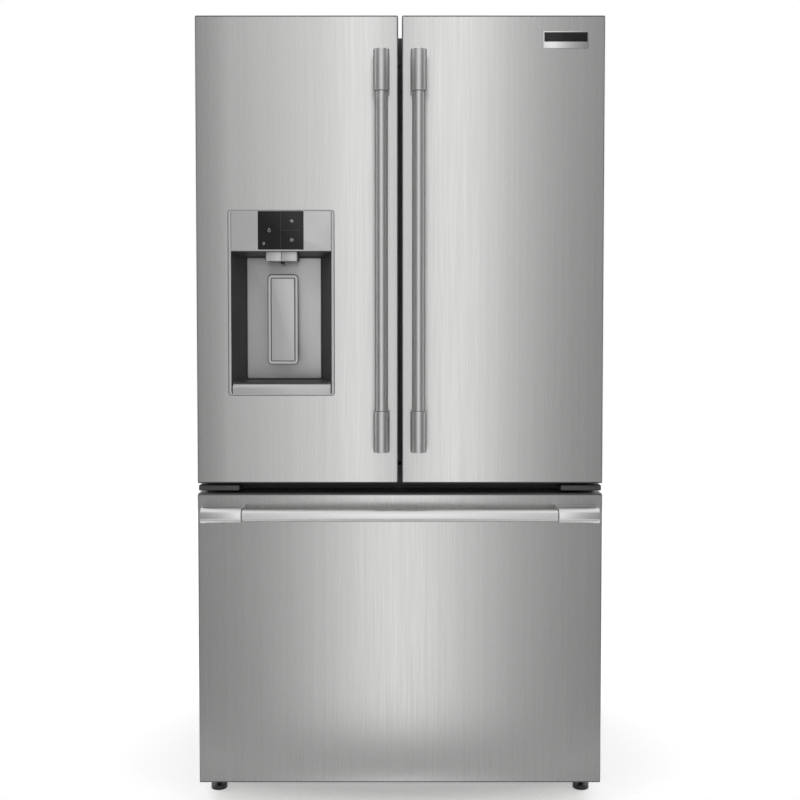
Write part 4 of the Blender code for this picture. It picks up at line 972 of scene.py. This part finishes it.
def flipper():
    """The folding bar's heated plate, its end caps and its soft edge."""
    low, high = FLIPPER
    single("flipper_plate", "flipper", BLACK, plate, (low.x + 0.008, low.z + 0.010),
           (high.x - 0.001, high.z - 0.010), 0.002, low.y - 0.0002, 0.0012, 0.0005)
    single("flipper_soft_edge", "flipper", ("grey_rubber", "grey_rubber"), soft_block,
           (high.x - 0.001, low.y + 0.0003, low.z + 0.002),
           (high.x + 0.0185, low.y + 0.0023, high.z - 0.002), 0.0008, 2)
    for side, label, z in ((-1, "lower", low.z), (1, "upper", high.z)):
        guide = bmesh.new()
        bar(guide, (high.x - 0.010, low.y + 0.010, z - side * 0.004),
            (high.x - 0.010, low.y + 0.010, z + side * 0.0065), 0.0042, 20)
        soften(guide, sharp(guide, 1.0), 0.0010, 2)
        finish_piece(f"flipper_{label}_guide", guide, "flipper", WHITE)


def gap_shade_sheets():
    """Dark sheets on the case front between the doors and above the drawer: painted shade
    standing in for the shade in those gaps.
    """
    face, thick = CASE_Y - 0.0014, 0.0012
    spans = (("drawer_gap_trim", RAIL[1].x - 0.0130, *DRAWER_GAP_SHADE_SPAN),
             ("lower_centre_painted_shade", GAP_SHADE_HALF, GAP_SHADE_FOOT, FLIPPER[0].z - GAP_SHADE_CLEAR),
             ("upper_centre_painted_shade", GAP_SHADE_HALF, FLIPPER[1].z + GAP_SHADE_CLEAR,
              corners("cabinet_shell")[1].z - 0.0006))
    # painted shade: each charcoal plate darkens a gap that only holds shade
    for name, half, bottom, top in spans:
        single(name, "cabinet", CHARCOAL, plate, (-half, bottom), (half, top), 0.0020, face,
               thick, 0.0005)


def hinge_ends():
    """The covers of the middle hinges, seen between a door and the drawer."""
    for side, label in SIDES:
        inner, outer = (side * reach for reach in HINGE_SPAN)
        middle_z = (DRAWER_SKIN[1].z + RIGHT_SKIN[0].z) / 2
        single(f"middle_hinge_cover_{label}", "cabinet", CHARCOAL, soft_block,
               (inner, FACE_Y + 0.0090, middle_z - 0.0062),
               (outer, RAIL[0].y + 0.0030, middle_z + 0.0062), 0.0022)


class REFRIGERATOR_OT_seals(bpy.types.Operator):
    """Make the door seals, the folding bar's details and the painted shade sheets in the
    gaps
    """

    bl_idname = "refrigerator.seals"
    bl_label = "Seals"

    def execute(self, context):
        gasket("left_door_gasket", "left_door")
        gasket("right_door_gasket", "right_door")
        gasket("drawer_gasket", "freezer_drawer")
        flipper()
        gap_shade_sheets()
        hinge_ends()
        return {"FINISHED"}


# ---- inside the fridge ------------------------------------------------------

ROOM_CORNER = Vector((0.4000, 0.3235, 1.6940))     # the room's right, back and top
DUCT_HALF = 0.110                 # half-width of the air duct
VENT_COUNT = 7                    # slots in a row of its vents
VENT_PITCH = 0.020
RIB_COUNT = 18                    # ribs of the ceiling lamp's lens
RIB_PITCH = 0.011
RIM_WIDTH = 0.0050
RIM_THICK = 0.0040


def glass_shelf(node):
    """A glass pane in a slim moulded frame with a front trim."""
    low, high = corners(node)
    low = Vector((low.x, low.y, high.z - 0.0117))
    made = single(f"{node}_pane", "cabinet", ("shelf_glass", "shelf_glass"), soft_block,
                  (low.x + 0.007, low.y + 0.012, high.z - 0.0052),
                  (high.x - 0.007, high.y - 0.008, high.z - 0.0010), 0.0006, 2)
    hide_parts(node)
    frame_mesh = bmesh.new()
    for side in (-1, 1):
        edge = low.x if side < 0 else high.x
        soft_block(frame_mesh, (edge, low.y + 0.006, low.z + 0.0015),
                   (edge - side * 0.014, high.y - 0.001, high.z), 0.0020)
    soft_block(frame_mesh, (low.x, high.y - 0.014, low.z + 0.0015),
               (high.x, high.y - 0.0005, high.z), 0.0020)
    finish_piece(f"{node}_frame", frame_mesh, "cabinet", WHITE)
    single(f"{node}_trim", "cabinet", SILVER, section,
           ((low.y, low.z + 0.0010), (low.y + 0.0005, high.z - 0.0030),
            (low.y + 0.0030, high.z), (low.y + 0.0160, high.z),
            (low.y + 0.0160, high.z - 0.0010), (low.y + 0.0115, high.z - 0.0060),
            (low.y + 0.0115, low.z), (low.y + 0.0010, low.z)), low.x + 0.0006,
           high.x - 0.0006, 0.0006)


def clear_bin(node, body, wall, radius, taper):
    """A clear bin with round corners."""
    low, high = corners(node)
    mesh = bmesh.new()
    open_bin(mesh, low + Vector((0.0012, 0.0012, 0.0005)),
             high - Vector((0.0012, 0.0012, 0.0030)), wall, radius, taper)
    made = finish_piece(f"{node}_body", mesh, body, ("clear_plastic", "clear_plastic"),
                        50.0)
    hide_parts(node)
    return low, high


def rolled_rim(name, low, high, z, body, radius):
    """A level rim with round corners."""
    width, thick = RIM_WIDTH, RIM_THICK
    mesh = bmesh.new()
    hole = ((low.x + width, low.y + width), (high.x - width, high.y - width),
            max(radius - width, 0.002))
    plate(mesh, (low.x, low.y), (high.x, high.y), radius, 0.0, thick, thick * 0.3, hole)
    lay_down = Matrix.Translation((0, 0, z + thick)) @ Matrix.Rotation(-pi / 2, 4, "X")
    bmesh.ops.transform(mesh, matrix=lay_down, verts=mesh.verts[:])
    finish_piece(name, mesh, body, WHITE)


def crispers():
    """Two clear drawers with rims and pull handles."""
    for _, label in SIDES:
        node = f"crisper_{label}"
        low, high = clear_bin(node, node, 0.0030, 0.014, 0.02)
        rolled_rim(f"{node}_rim", low, high, high.z - 0.0042, node, 0.014)
        single(f"{node}_grip", node, SILVER, section,
               ((low.y + 0.0002, high.z - 0.030), (low.y + 0.0002, high.z - 0.0045),
                (low.y + 0.0040, high.z - 0.0020), (low.y + 0.0150, high.z - 0.0020),
                (low.y + 0.0150, high.z - 0.0050), (low.y + 0.0060, high.z - 0.0060),
                (low.y + 0.0030, high.z - 0.0100), (low.y + 0.0030, high.z - 0.030)),
               low.x + 0.030, high.x - 0.030, 0.0008)
        middle_x = (low.x + high.x) / 2
        single(f"{node}_vent_slider", node, WHITE, soft_block,
               (middle_x - 0.045, low.y + 0.0200, high.z - 0.0034),
               (middle_x + 0.045, low.y + 0.0340, high.z - 0.0008), 0.0010, 2)


def door_bins():
    """The doors' storage bins: clear walls, a rolled rim and a front guard."""
    for _, label in SIDES:
        for place in ("upper", "lower"):
            node = f"{label}_door_bin_{place}"
            body = f"{label}_door"
            low, high = clear_bin(node, body, 0.0025, 0.018, 0.035)
            rolled_rim(f"{node}_rim", low, high, high.z - 0.0044, body, 0.018)
            single(f"{node}_guard", body, SILVER, soft_block,
                   (low.x + 0.026, high.y - 0.0052, low.z + 0.030),
                   (high.x - 0.026, high.y - 0.0010, low.z + 0.042), 0.0018)


def ice_bin():
    """The ice bin: a tall rounded front, a clear body and a pull."""
    low, high = clear_bin("ice_bin", "ice_bin", 0.0030, 0.012, 0.015)
    single("ice_bin_front", "ice_bin", WHITE, plate, (low.x + 0.0006, low.z + 0.0006),
           (high.x - 0.0006, high.z - 0.0006), 0.010, low.y + 0.0002, 0.0050, 0.0020)
    middle_x = (low.x + high.x) / 2
    single("ice_bin_pull", "ice_bin", SILVER, plate, (middle_x - 0.040, high.z - 0.034),
           (middle_x + 0.040, high.z - 0.014), 0.0080, low.y + 0.00015, 0.0030, 0.0010,
           hole=((middle_x - 0.036, high.z - 0.030), (middle_x + 0.036, high.z - 0.018),
                 0.005))


def air_duct():
    """The cold-air duct on the fridge's back wall, with its vents and lamps."""
    high, wide = ROOM_CORNER, DUCT_HALF
    top, bottom = high.z - 0.012, corners("shelf_lower")[1].z + 0.012
    single("air_duct", "cabinet", WHITE, plate, (-wide, bottom), (wide, top), 0.012,
           high.y - 0.0120, 0.0115, 0.0035)
    vents = bmesh.new()
    for level in (0.25, 0.75):
        z = bottom + (top - bottom) * level
        for number in range(VENT_COUNT):
            across = (number - VENT_COUNT // 2) * VENT_PITCH
            soft_block(vents, (across - 0.0070, high.y - 0.0124, z - 0.0020),
                       (across + 0.0070, high.y - 0.0116, z + 0.0020), 0.0003, 1)
    finish_piece("air_duct_vents", vents, "cabinet", BLACK)
    for side, label in SIDES:
        single(f"duct_lamp_{label}", "cabinet", ("clear_plastic", "lamp_white"), plate,
               (side * (wide - 0.012) - 0.0045, bottom + 0.030),
               (side * (wide - 0.012) + 0.0045, top - 0.030), 0.0040, high.y - 0.0124,
               0.0010, 0.0003)


def ceiling_lamp():
    """A lamp with a ribbed diffuser under the fridge's ceiling."""
    high = ROOM_CORNER
    single("ceiling_lamp_base", "cabinet", WHITE, soft_block,
           (-0.105, -0.170, high.z - 0.010), (0.105, -0.100, high.z - HAIR), 0.0035)
    glow = bmesh.new()
    for number in range(RIB_COUNT):
        across = (number - (RIB_COUNT - 1) / 2) * RIB_PITCH
        soft_block(glow, (across - 0.0049, -0.163, high.z - 0.0125),
                   (across + 0.0049, -0.107, high.z - 0.0095), 0.0012, 2)
    finish_piece("ceiling_lamp_lens", glow, "cabinet", ("clear_plastic", "lamp_white"))


class REFRIGERATOR_OT_fridge_inside(bpy.types.Operator):
    """Make the fridge's shelves, drawers, bins, ice bin, duct and lamps"""

    bl_idname = "refrigerator.fridge_inside"
    bl_label = "Fridge Inside"

    def execute(self, context):
        for node in ("shelf_lower", "shelf_upper_left", "shelf_upper_right"):
            glass_shelf(node)
        crispers()
        door_bins()
        ice_bin()
        air_duct()
        ceiling_lamp()
        return {"FINISHED"}


# ---- inside the freezer -----------------------------------------------------

RUNNER_SPAN = (0.2150, 0.2450)    # foot and top of the freezer's runners
RUNNER_BEADS = (0.2205, 0.2395)   # heights of the rolled beads on them


def wires(name, node, low, high, body, across, along):
    """A welded wire basket: a thick rim, level hoops and wires bent down, under and
    up, both ways."""
    thin, thick = sizes().wire, sizes().wire * 1.8
    mesh = bmesh.new()

    def run(points, radius, sides=8):
        for first, second in zip(points, points[1:]):
            bar(mesh, first, second, radius, sides)
        for point in points[1:-1]:
            bmesh.ops.create_uvsphere(mesh, u_segments=sides, v_segments=4, radius=radius,
                                      matrix=Matrix.Translation(point))

    left, right = low.x + thick, high.x - thick
    front, back = low.y + thick, high.y - thick
    bottom, top = low.z + thick, high.z - thick
    for z, radius in ((top, thick), ((top * 2 + bottom) / 3, thin),
                      ((top + bottom * 2) / 3, thin)):
        ring = [Vector((left, front, z)), Vector((right, front, z)),
                Vector((right, back, z)), Vector((left, back, z))]
        run([*ring, ring[0], ring[1]], radius, 10)
    for y in spaced(front + 0.02, back - 0.02, along):
        run([Vector((left, y, top)), Vector((left, y, bottom)), Vector((right, y, bottom)),
             Vector((right, y, top))], thin)
    for x in spaced(left + 0.02, right - 0.02, across):
        run([Vector((x, front, top)), Vector((x, front, bottom + 2 * thin)),
             Vector((x, back, bottom + 2 * thin)), Vector((x, back, top))], thin)
    made = finish_piece(name, mesh, body, ("white_wire", "white_wire"), 60.0, recalc=False)
    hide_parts(node)


def upper_tray():
    """The moulded upper tray: round corners, side ledges, ribs and a finger pull."""
    low, high = corners("freezer_upper_basket")
    wall_x = high.x - 0.0175
    tray = bmesh.new()
    open_bin(tray, (-wall_x, low.y + 0.0004, low.z + 0.0004),
             (wall_x, high.y - 0.0004, high.z - 0.0004), 0.0030, 0.014, 0.02)
    made = finish_piece("freezer_upper_tray", tray, "freezer_upper_basket", WHITE, 50.0)
    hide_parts("freezer_upper_basket")
    edges = bmesh.new()
    for side in (-1, 1):
        inner, outer = side * (wall_x - 0.0010), side * (high.x - 0.0006)
        soft_block(edges, (inner, low.y + 0.004, high.z - 0.0097),
                   (outer, high.y - 0.004, high.z - 0.0062), 0.0012, 2)
        for y in spaced(low.y + 0.040, high.y - 0.040, 9):
            soft_block(edges, (side * wall_x - 0.0012, y - 0.0012, low.z + 0.030),
                       (side * wall_x + 0.0012, y + 0.0012, high.z - 0.012), 0.0008, 2)
    finish_piece("freezer_upper_tray_ledges", edges, "freezer_upper_basket", WHITE)
    rim = bmesh.new()
    for y in (low.y + 0.0026, high.y - 0.0026):
        bar(rim, (-wall_x + 0.014, y, high.z - 0.0028),
            (wall_x - 0.014, y, high.z - 0.0028), 0.0022, 12)
    finish_piece("freezer_upper_tray_rim", rim, "freezer_upper_basket", SILVER)


class REFRIGERATOR_OT_freezer_inside(bpy.types.Operator):
    """Make the freezer's wire basket, runners, divider and upper tray"""

    bl_idname = "refrigerator.freezer_inside"
    bl_label = "Freezer Inside"

    def execute(self, context):
        low, high = corners("freezer_basket")
        wires("freezer_basket_wires", "freezer_basket",
              Vector((low.x + 0.0048, low.y + 0.008, low.z + 0.001)),
              Vector((high.x - 0.0048, high.y - 0.0005, high.z - 0.0005)), "freezer_drawer",
              30, 16)
        for side, label in SIDES:
            runner = bmesh.new()
            edge = side * (high.x - 0.0002)
            inner = side * (high.x - 0.0046)
            soft_block(runner, (edge, low.y + 0.0005, RUNNER_SPAN[0]),
                       (inner, high.y - 0.004, RUNNER_SPAN[1]), 0.0012, 2)
            for level in RUNNER_BEADS:
                bar(runner, (edge - side * 0.0022, low.y + 0.004, level),
                    (edge - side * 0.0022, high.y - 0.010, level), 0.0022, 12)
            finish_piece(f"freezer_runner_{label}", runner, "freezer_drawer", ZINC)
        single("freezer_basket_divider", "freezer_drawer", WHITE, plate,
               (-0.0020, low.z + 0.012), (0.0020, high.z - 0.012), 0.0, low.y + 0.014,
               high.y - low.y - 0.020, 0.0012)
        upper_tray()
        return {"FINISHED"}


# ---- case top, back and base ------------------------------------------------

def screw(mesh, place, axis, radius=0.0032, head=0.0008):
    """A low screw head with a cross slot's dimple."""
    verts = bar(mesh, place, Vector(place) + along_axis(axis, head), radius, 20)
    rim = [edge for edge in edges_of(verts) if edge.calc_face_angle(0.0) > 1.0]
    soften(mesh, rim, abs(head) * 0.4, 2)


def hinge_cover(label):
    """A rounded cover over a top hinge."""
    node = f"hinge_cover_{label}"
    low, high = corners(node)
    mesh = bmesh.new()
    block(mesh, low + Vector((0.0001, 0.0001, 0.0)), high - Vector((0.0001, 0.0001, 0.0)))
    soften(mesh, uprights(mesh), 0.010, 6)
    soften(mesh, [edge for edge in lying(mesh.edges, 2, high.z)
                  if edge.calc_face_angle(0.0) > 0.8], 0.005, 4)
    bmesh.ops.delete(mesh, geom=lying(mesh.faces, 2, low.z), context="FACES")
    face_way(mesh, 2, 1, 1)
    made = finish_piece(f"{node}_shell", mesh, "cabinet", BLACK, 35.0, recalc=False)
    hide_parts(node)


def rear_sheet():
    """The back panel with pressed ribs and screws."""
    low, high = corners("rear_panel")
    face = high.y - 0.0006
    mesh = bmesh.new()
    block(mesh, low, (high.x, face, high.z))
    for x in spaced(low.x + 0.11, high.x - 0.11, 5):
        soft_block(mesh, (x - 0.011, face - 0.0004, low.z + 0.16),
                   (x + 0.011, high.y - HAIR / 3, high.z - 0.10), 0.00045, 2)
    made = finish_piece("rear_panel_sheet", mesh, "cabinet", ("galvanized", "galvanized"))
    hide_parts("rear_panel")
    heads = bmesh.new()
    for x in spaced(low.x + 0.012, high.x - 0.012, 5):
        for z in (low.z + 0.012, high.z - 0.012):
            screw(heads, (x, face - 0.0001, z), 1, 0.0036, 0.0005)
    for z in spaced(low.z + 0.25, high.z - 0.25, 5):
        for side in (-1, 1):
            screw(heads, (side * (high.x - 0.012), face - 0.0001, z), 1, 0.0036, 0.0005)
    finish_piece("rear_panel_screws", heads, "cabinet", ZINC)


def inlets():
    """The water valve and the power inlet at the foot of the back."""
    low, high = corners("compressor_cover")
    socket_x, valve_x, z = high.x - 0.080, low.x + 0.080, low.z + 0.045
    single("power_inlet", "cabinet", BLACK, plate, (socket_x - 0.024, z - 0.016),
           (socket_x + 0.024, z + 0.016), 0.004, high.y - 0.0300, 0.0298, 0.0)
    single("water_valve_body", "cabinet", WHITE, soft_block,
           (valve_x - 0.026, high.y - 0.050, z - 0.020),
           (valve_x + 0.026, high.y - 0.0020, z + 0.020), 0.003)
    thread = bmesh.new()
    for number in range(5):
        bar(thread, (valve_x, high.y - 0.0100 + number * 0.0018, z),
            (valve_x, high.y - 0.0090 + number * 0.0018, z), 0.0130, 28)
    bar(thread, (valve_x, high.y - 0.0110, z), (valve_x, high.y - 0.0002, z), 0.0118, 28)
    finish_piece("water_valve_thread", thread, "cabinet", ("copper", "copper"))


def case_screws():
    """Screws at the foot of the case's sides."""
    heads = bmesh.new()
    low, high = corners("cabinet_shell")
    for side in (-1, 1):
        for z in (low.z + 0.020, low.z + 0.060):
            for y in (low.y + 0.030, high.y - 0.030):
                screw(heads, (side * (high.x - 0.0001), y, z), 0, 0.0034, side * 0.0006)
    finish_piece("case_screws", heads, "cabinet", ZINC)


class REFRIGERATOR_OT_case(bpy.types.Operator):
    """Make the hinge covers, the back panel, the inlets and the screws"""

    bl_idname = "refrigerator.case"
    bl_label = "Case Details"

    def execute(self, context):
        for _, label in SIDES:
            hinge_cover(label)
        rear_sheet()
        inlets()
        case_screws()
        return {"FINISHED"}


# ---- stage ------------------------------------------------------------------

CAMERA_DISTANCE = 2.40            # from the camera to the doors' front plane
CAMERA_HEIGHT = 1.11
CAMERA_PITCH = 2.0                # degrees below level
LENS = 48.6                       # millimetres
SENSOR = 36.0
VIEW_SHIFT = -0.055
BAND_WIDTH = 0.44                 # half-width of the screen's bright band
BAND_FALL = 1.3                   # how sharply the band ends
BAND_LIGHT = 1.50
SIDE_LIGHT = 0.34                 # the screen's light beside the band
SIDE_END = 2.1                    # where the screen's sides turn dark
SIDE_FALL = 8.0                   # how sharply they do
SKY_RISE = 0.035                  # how much lighter the screen is a metre higher
SCREEN_RADIUS = 3.2
SCREEN_CENTRE_Y = -0.2
SCREEN_FROM = -15.0               # degrees, the curved screen's right end
SCREEN_SWEEP = 150.0              # degrees
SCREEN_LOW = -2.0
SCREEN_HIGH = 4.2
APRON_NEAR = -0.50                # the floor screen's edge at the refrigerator
APRON_FAR = -0.80
APRON_WIDTH = 2.2
APRON_Z = -0.002
APRON_GREY = 0.40                 # its light
FLOOR_RADIUS = 2.2
FLOOR_Y = 1.75                    # the round floor's centre, behind the refrigerator
FLOOR_Z = -0.0004
FLOOR_FADE = 0.22                 # width of its soft rim
FLOOR_LIFT = 0.30                 # light it adds to its own look, not to the object
LAMP_PLACE = (2.3, -2.6, 3.3)     # the right lamp; the left one mirrors it
LAMP_TARGET = (0.0, 0.0, 0.9)
LAMP_SIZE = 1.6
LAMP_POWER = 55.0


def sky():
    """An even white surround."""
    world = bpy.data.worlds.new("studio")
    bpy.context.scene.world = world
    world.use_nodes = True
    background = world.node_tree.nodes["Background"]
    background.inputs["Color"].default_value = (1.0, 1.0, 1.0, 1.0)
    background.inputs["Strength"].default_value = 1.0


def calculate(tree, kind, first, second=None, clamp=False):
    """A maths node between values or outputs.  Returns its output."""
    made = tree.nodes.new("ShaderNodeMath")
    made.operation = kind
    made.use_clamp = clamp
    for number, value in enumerate((first, second)):
        if isinstance(value, (int, float)):
            made.inputs[number].default_value = value
        elif value is not None:
            tree.links.new(value, made.inputs[number])
    return made.outputs[0]


def emitter(name):
    """A material that only gives light.  Returns it, its tree and its strength."""
    made = bpy.data.materials.new(name)
    made.use_nodes = True
    tree = made.node_tree
    tree.nodes.remove(tree.nodes["Principled BSDF"])
    light = tree.nodes.new("ShaderNodeEmission")
    tree.links.new(light.outputs[0], tree.nodes["Material Output"].inputs["Surface"])
    return made, tree, light.inputs["Strength"]


def banded_light():
    """The screen's glow: brightest in an upright band at its middle, dark at its
    far sides and a little lighter towards the top."""
    lit, tree, strength = emitter("studio_screen")
    place = tree.nodes.new("ShaderNodeTexCoord")
    apart = tree.nodes.new("ShaderNodeSeparateXYZ")
    tree.links.new(place.outputs["Object"], apart.inputs[0])
    across = calculate(tree, "ABSOLUTE", apart.outputs["X"])
    fall = calculate(tree, "POWER", calculate(tree, "DIVIDE", across, BAND_WIDTH),
                     BAND_FALL)
    band = calculate(tree, "EXPONENT", calculate(tree, "MULTIPLY", fall, -1.0))
    level = calculate(tree, "ADD", calculate(tree, "MULTIPLY", band, BAND_LIGHT),
                      SIDE_LIGHT)
    height = calculate(tree, "MULTIPLY", apart.outputs["Z"], SKY_RISE)
    ends = calculate(tree, "POWER", calculate(tree, "DIVIDE", across, SIDE_END),
                     SIDE_FALL)
    shade = calculate(tree, "EXPONENT", calculate(tree, "MULTIPLY", ends, -1.0))
    level = calculate(tree, "ADD", level, height)
    tree.links.new(calculate(tree, "MULTIPLY", level, shade), strength)
    return lit


def stage_card(name, mesh, lit):
    """A card that lights the object and isn't seen itself."""
    made = linked(name, mesh, lit)
    made.visible_camera = False


def screens():
    """A tall curved screen in front and a low grey one on the floor, which the steel
    reflects."""
    mesh = bmesh.new()
    start = mesh.verts.new((SCREEN_RADIUS * cos(radians(SCREEN_FROM)),
                            SCREEN_CENTRE_Y + SCREEN_RADIUS * sin(radians(SCREEN_FROM)),
                            SCREEN_LOW))
    rise = mesh.verts.new((start.co.x, start.co.y, SCREEN_HIGH))
    edge = mesh.edges.new((start, rise))
    bmesh.ops.spin(mesh, geom=[edge], cent=(0, SCREEN_CENTRE_Y, 0), axis=(0, 0, 1),
                   angle=-radians(SCREEN_SWEEP), steps=48)
    stage_card("studio_screen", mesh, banded_light())
    low = bmesh.new()
    place = (Matrix.Translation((0.0, (APRON_NEAR + APRON_FAR) / 2, APRON_Z))
             @ Matrix.Diagonal((APRON_WIDTH, abs(APRON_FAR - APRON_NEAR), 1.0, 1.0)))
    bmesh.ops.create_grid(low, x_segments=1, y_segments=1, size=0.5, matrix=place)
    grey, _, strength = emitter("studio_apron")
    strength.default_value = APRON_GREY
    stage_card("studio_apron", low, grey)


def soft_lamp(name, place):
    """A square soft light that faces the refrigerator's middle."""
    data = bpy.data.lights.new(name, "AREA")
    data.shape = "SQUARE"
    data.size = LAMP_SIZE
    data.energy = LAMP_POWER
    lamp = bpy.data.objects.new(name, data)
    lamp.location = place
    lamp.visible_glossy = False
    aim = Vector(LAMP_TARGET) - Vector(place)
    lamp.rotation_euler = aim.to_track_quat("-Z", "Y").to_euler()
    bpy.context.scene.collection.objects.link(lamp)


def floor():
    """A pale round floor that fades out round the refrigerator."""
    mesh = bmesh.new()
    bmesh.ops.create_circle(mesh, cap_ends=True, segments=96, radius=FLOOR_RADIUS)
    bmesh.ops.translate(mesh, verts=mesh.verts[:], vec=(0, FLOOR_Y, FLOOR_Z))
    pale = Finish("floor_pale", (0.96, 0.96, 0.96), 0.9, Specular_IOR_Level=0.0)
    pale.vary_colour(pale.pattern(3.0), 0.004)
    tree = pale.tree
    rays = tree.nodes.new("ShaderNodeLightPath")
    seen = calculate(tree, "MAXIMUM", rays.outputs["Is Camera Ray"],
                     calculate(tree, "MAXIMUM", rays.outputs["Is Glossy Ray"],
                               rays.outputs["Is Transmission Ray"]))
    pale.shader.inputs["Emission Color"].default_value = (1.0, 1.0, 1.0, 1.0)
    tree.links.new(calculate(tree, "MULTIPLY", seen, FLOOR_LIFT),
                   pale.shader.inputs["Emission Strength"])
    place = pale.node("ShaderNodeTexCoord")
    centred = pale.node("ShaderNodeMapping", Location=(0.0, -FLOOR_Y, 0.0))
    tree.links.new(place.outputs["Object"], centred.inputs["Vector"])
    reach = tree.nodes.new("ShaderNodeVectorMath")
    reach.operation = "LENGTH"
    tree.links.new(centred.outputs["Vector"], reach.inputs[0])
    solid = calculate(tree, "DIVIDE", calculate(tree, "SUBTRACT", FLOOR_RADIUS,
                                                reach.outputs["Value"]), FLOOR_FADE, True)
    tree.links.new(solid, pale.shader.inputs["Alpha"])
    linked("floor", mesh, pale.made)


class REFRIGERATOR_OT_stage(bpy.types.Operator):
    """Make the floor, the surroundings, the lamps and the camera"""

    bl_idname = "refrigerator.stage"
    bl_label = "Stage"

    def execute(self, context):
        scene = context.scene
        scene.view_settings.view_transform = "Standard"
        sky()
        screens()
        floor()
        for side, label in SIDES:
            place = (side * LAMP_PLACE[0], *LAMP_PLACE[1:])
            soft_lamp(f"soft_lamp_{label}", place)
        data = bpy.data.cameras.new("camera")
        data.lens = LENS
        data.sensor_width = SENSOR
        data.shift_y = VIEW_SHIFT
        camera = bpy.data.objects.new("camera", data)
        camera.location = (0.0, FACE_Y - CAMERA_DISTANCE, CAMERA_HEIGHT)
        camera.rotation_euler = (radians(90.0 - CAMERA_PITCH), 0.0, 0.0)
        scene.collection.objects.link(camera)
        scene.camera = camera
        return {"FINISHED"}


# ---- finishes for the frame's own nodes -------------------------------------

class REFRIGERATOR_OT_finishes(bpy.types.Operator):
    """Make every finish and give it to the frame's own nodes"""

    bl_idname = "refrigerator.finishes"
    bl_label = "Finishes"

    def execute(self, context):
        FINISHES.update(make_finishes())
        for part in frame["record"]["subparts"]:
            node = frame["nodes"][part["node"]]
            node.data.materials.clear()
            node.data.materials.append(FINISHES[part["material_slot"]])
        return {"FINISHED"}


# ---- panel and registration -------------------------------------------------

class REFRIGERATOR_PT_panel(bpy.types.Panel):
    """The refrigerator's settings and steps"""

    bl_label = "Refrigerator"
    bl_idname = "REFRIGERATOR_PT_panel"
    bl_space_type = "VIEW_3D"
    bl_region_type = "UI"
    bl_category = "Refrigerator"

    def draw(self, context):
        layout = self.layout
        for step in STEPS:
            layout.operator(step.bl_idname)
        for settings in (context.scene.refrigerator_sizes,
                         context.scene.refrigerator_colours):
            for label in settings.bl_rna.properties.keys():
                if label not in ("rna_type", "name"):
                    layout.prop(settings, label)


STEPS = (
    REFRIGERATOR_OT_finishes,
    REFRIGERATOR_OT_doors,
    REFRIGERATOR_OT_handles,
    REFRIGERATOR_OT_badge,
    REFRIGERATOR_OT_dispenser,
    REFRIGERATOR_OT_seals,
    REFRIGERATOR_OT_fridge_inside,
    REFRIGERATOR_OT_freezer_inside,
    REFRIGERATOR_OT_case,
    REFRIGERATOR_OT_stage,
)
CLASSES = (RefrigeratorSizes, RefrigeratorColours, *STEPS, REFRIGERATOR_PT_panel)


def register():
    """Add the settings, the steps and the panel."""
    for kind in CLASSES:
        bpy.utils.register_class(kind)
    bpy.types.Scene.refrigerator_sizes = PointerProperty(type=RefrigeratorSizes)
    bpy.types.Scene.refrigerator_colours = PointerProperty(type=RefrigeratorColours)


def unregister():
    """Take them away again."""
    del bpy.types.Scene.refrigerator_colours
    del bpy.types.Scene.refrigerator_sizes
    for kind in reversed(CLASSES):
        bpy.utils.unregister_class(kind)


def main():
    """Build the refrigerator."""
    register()
    for step in STEPS:
        group, action = step.bl_idname.split(".")
        getattr(getattr(bpy.ops, group), action)()


if __name__ == "__main__":
    main()
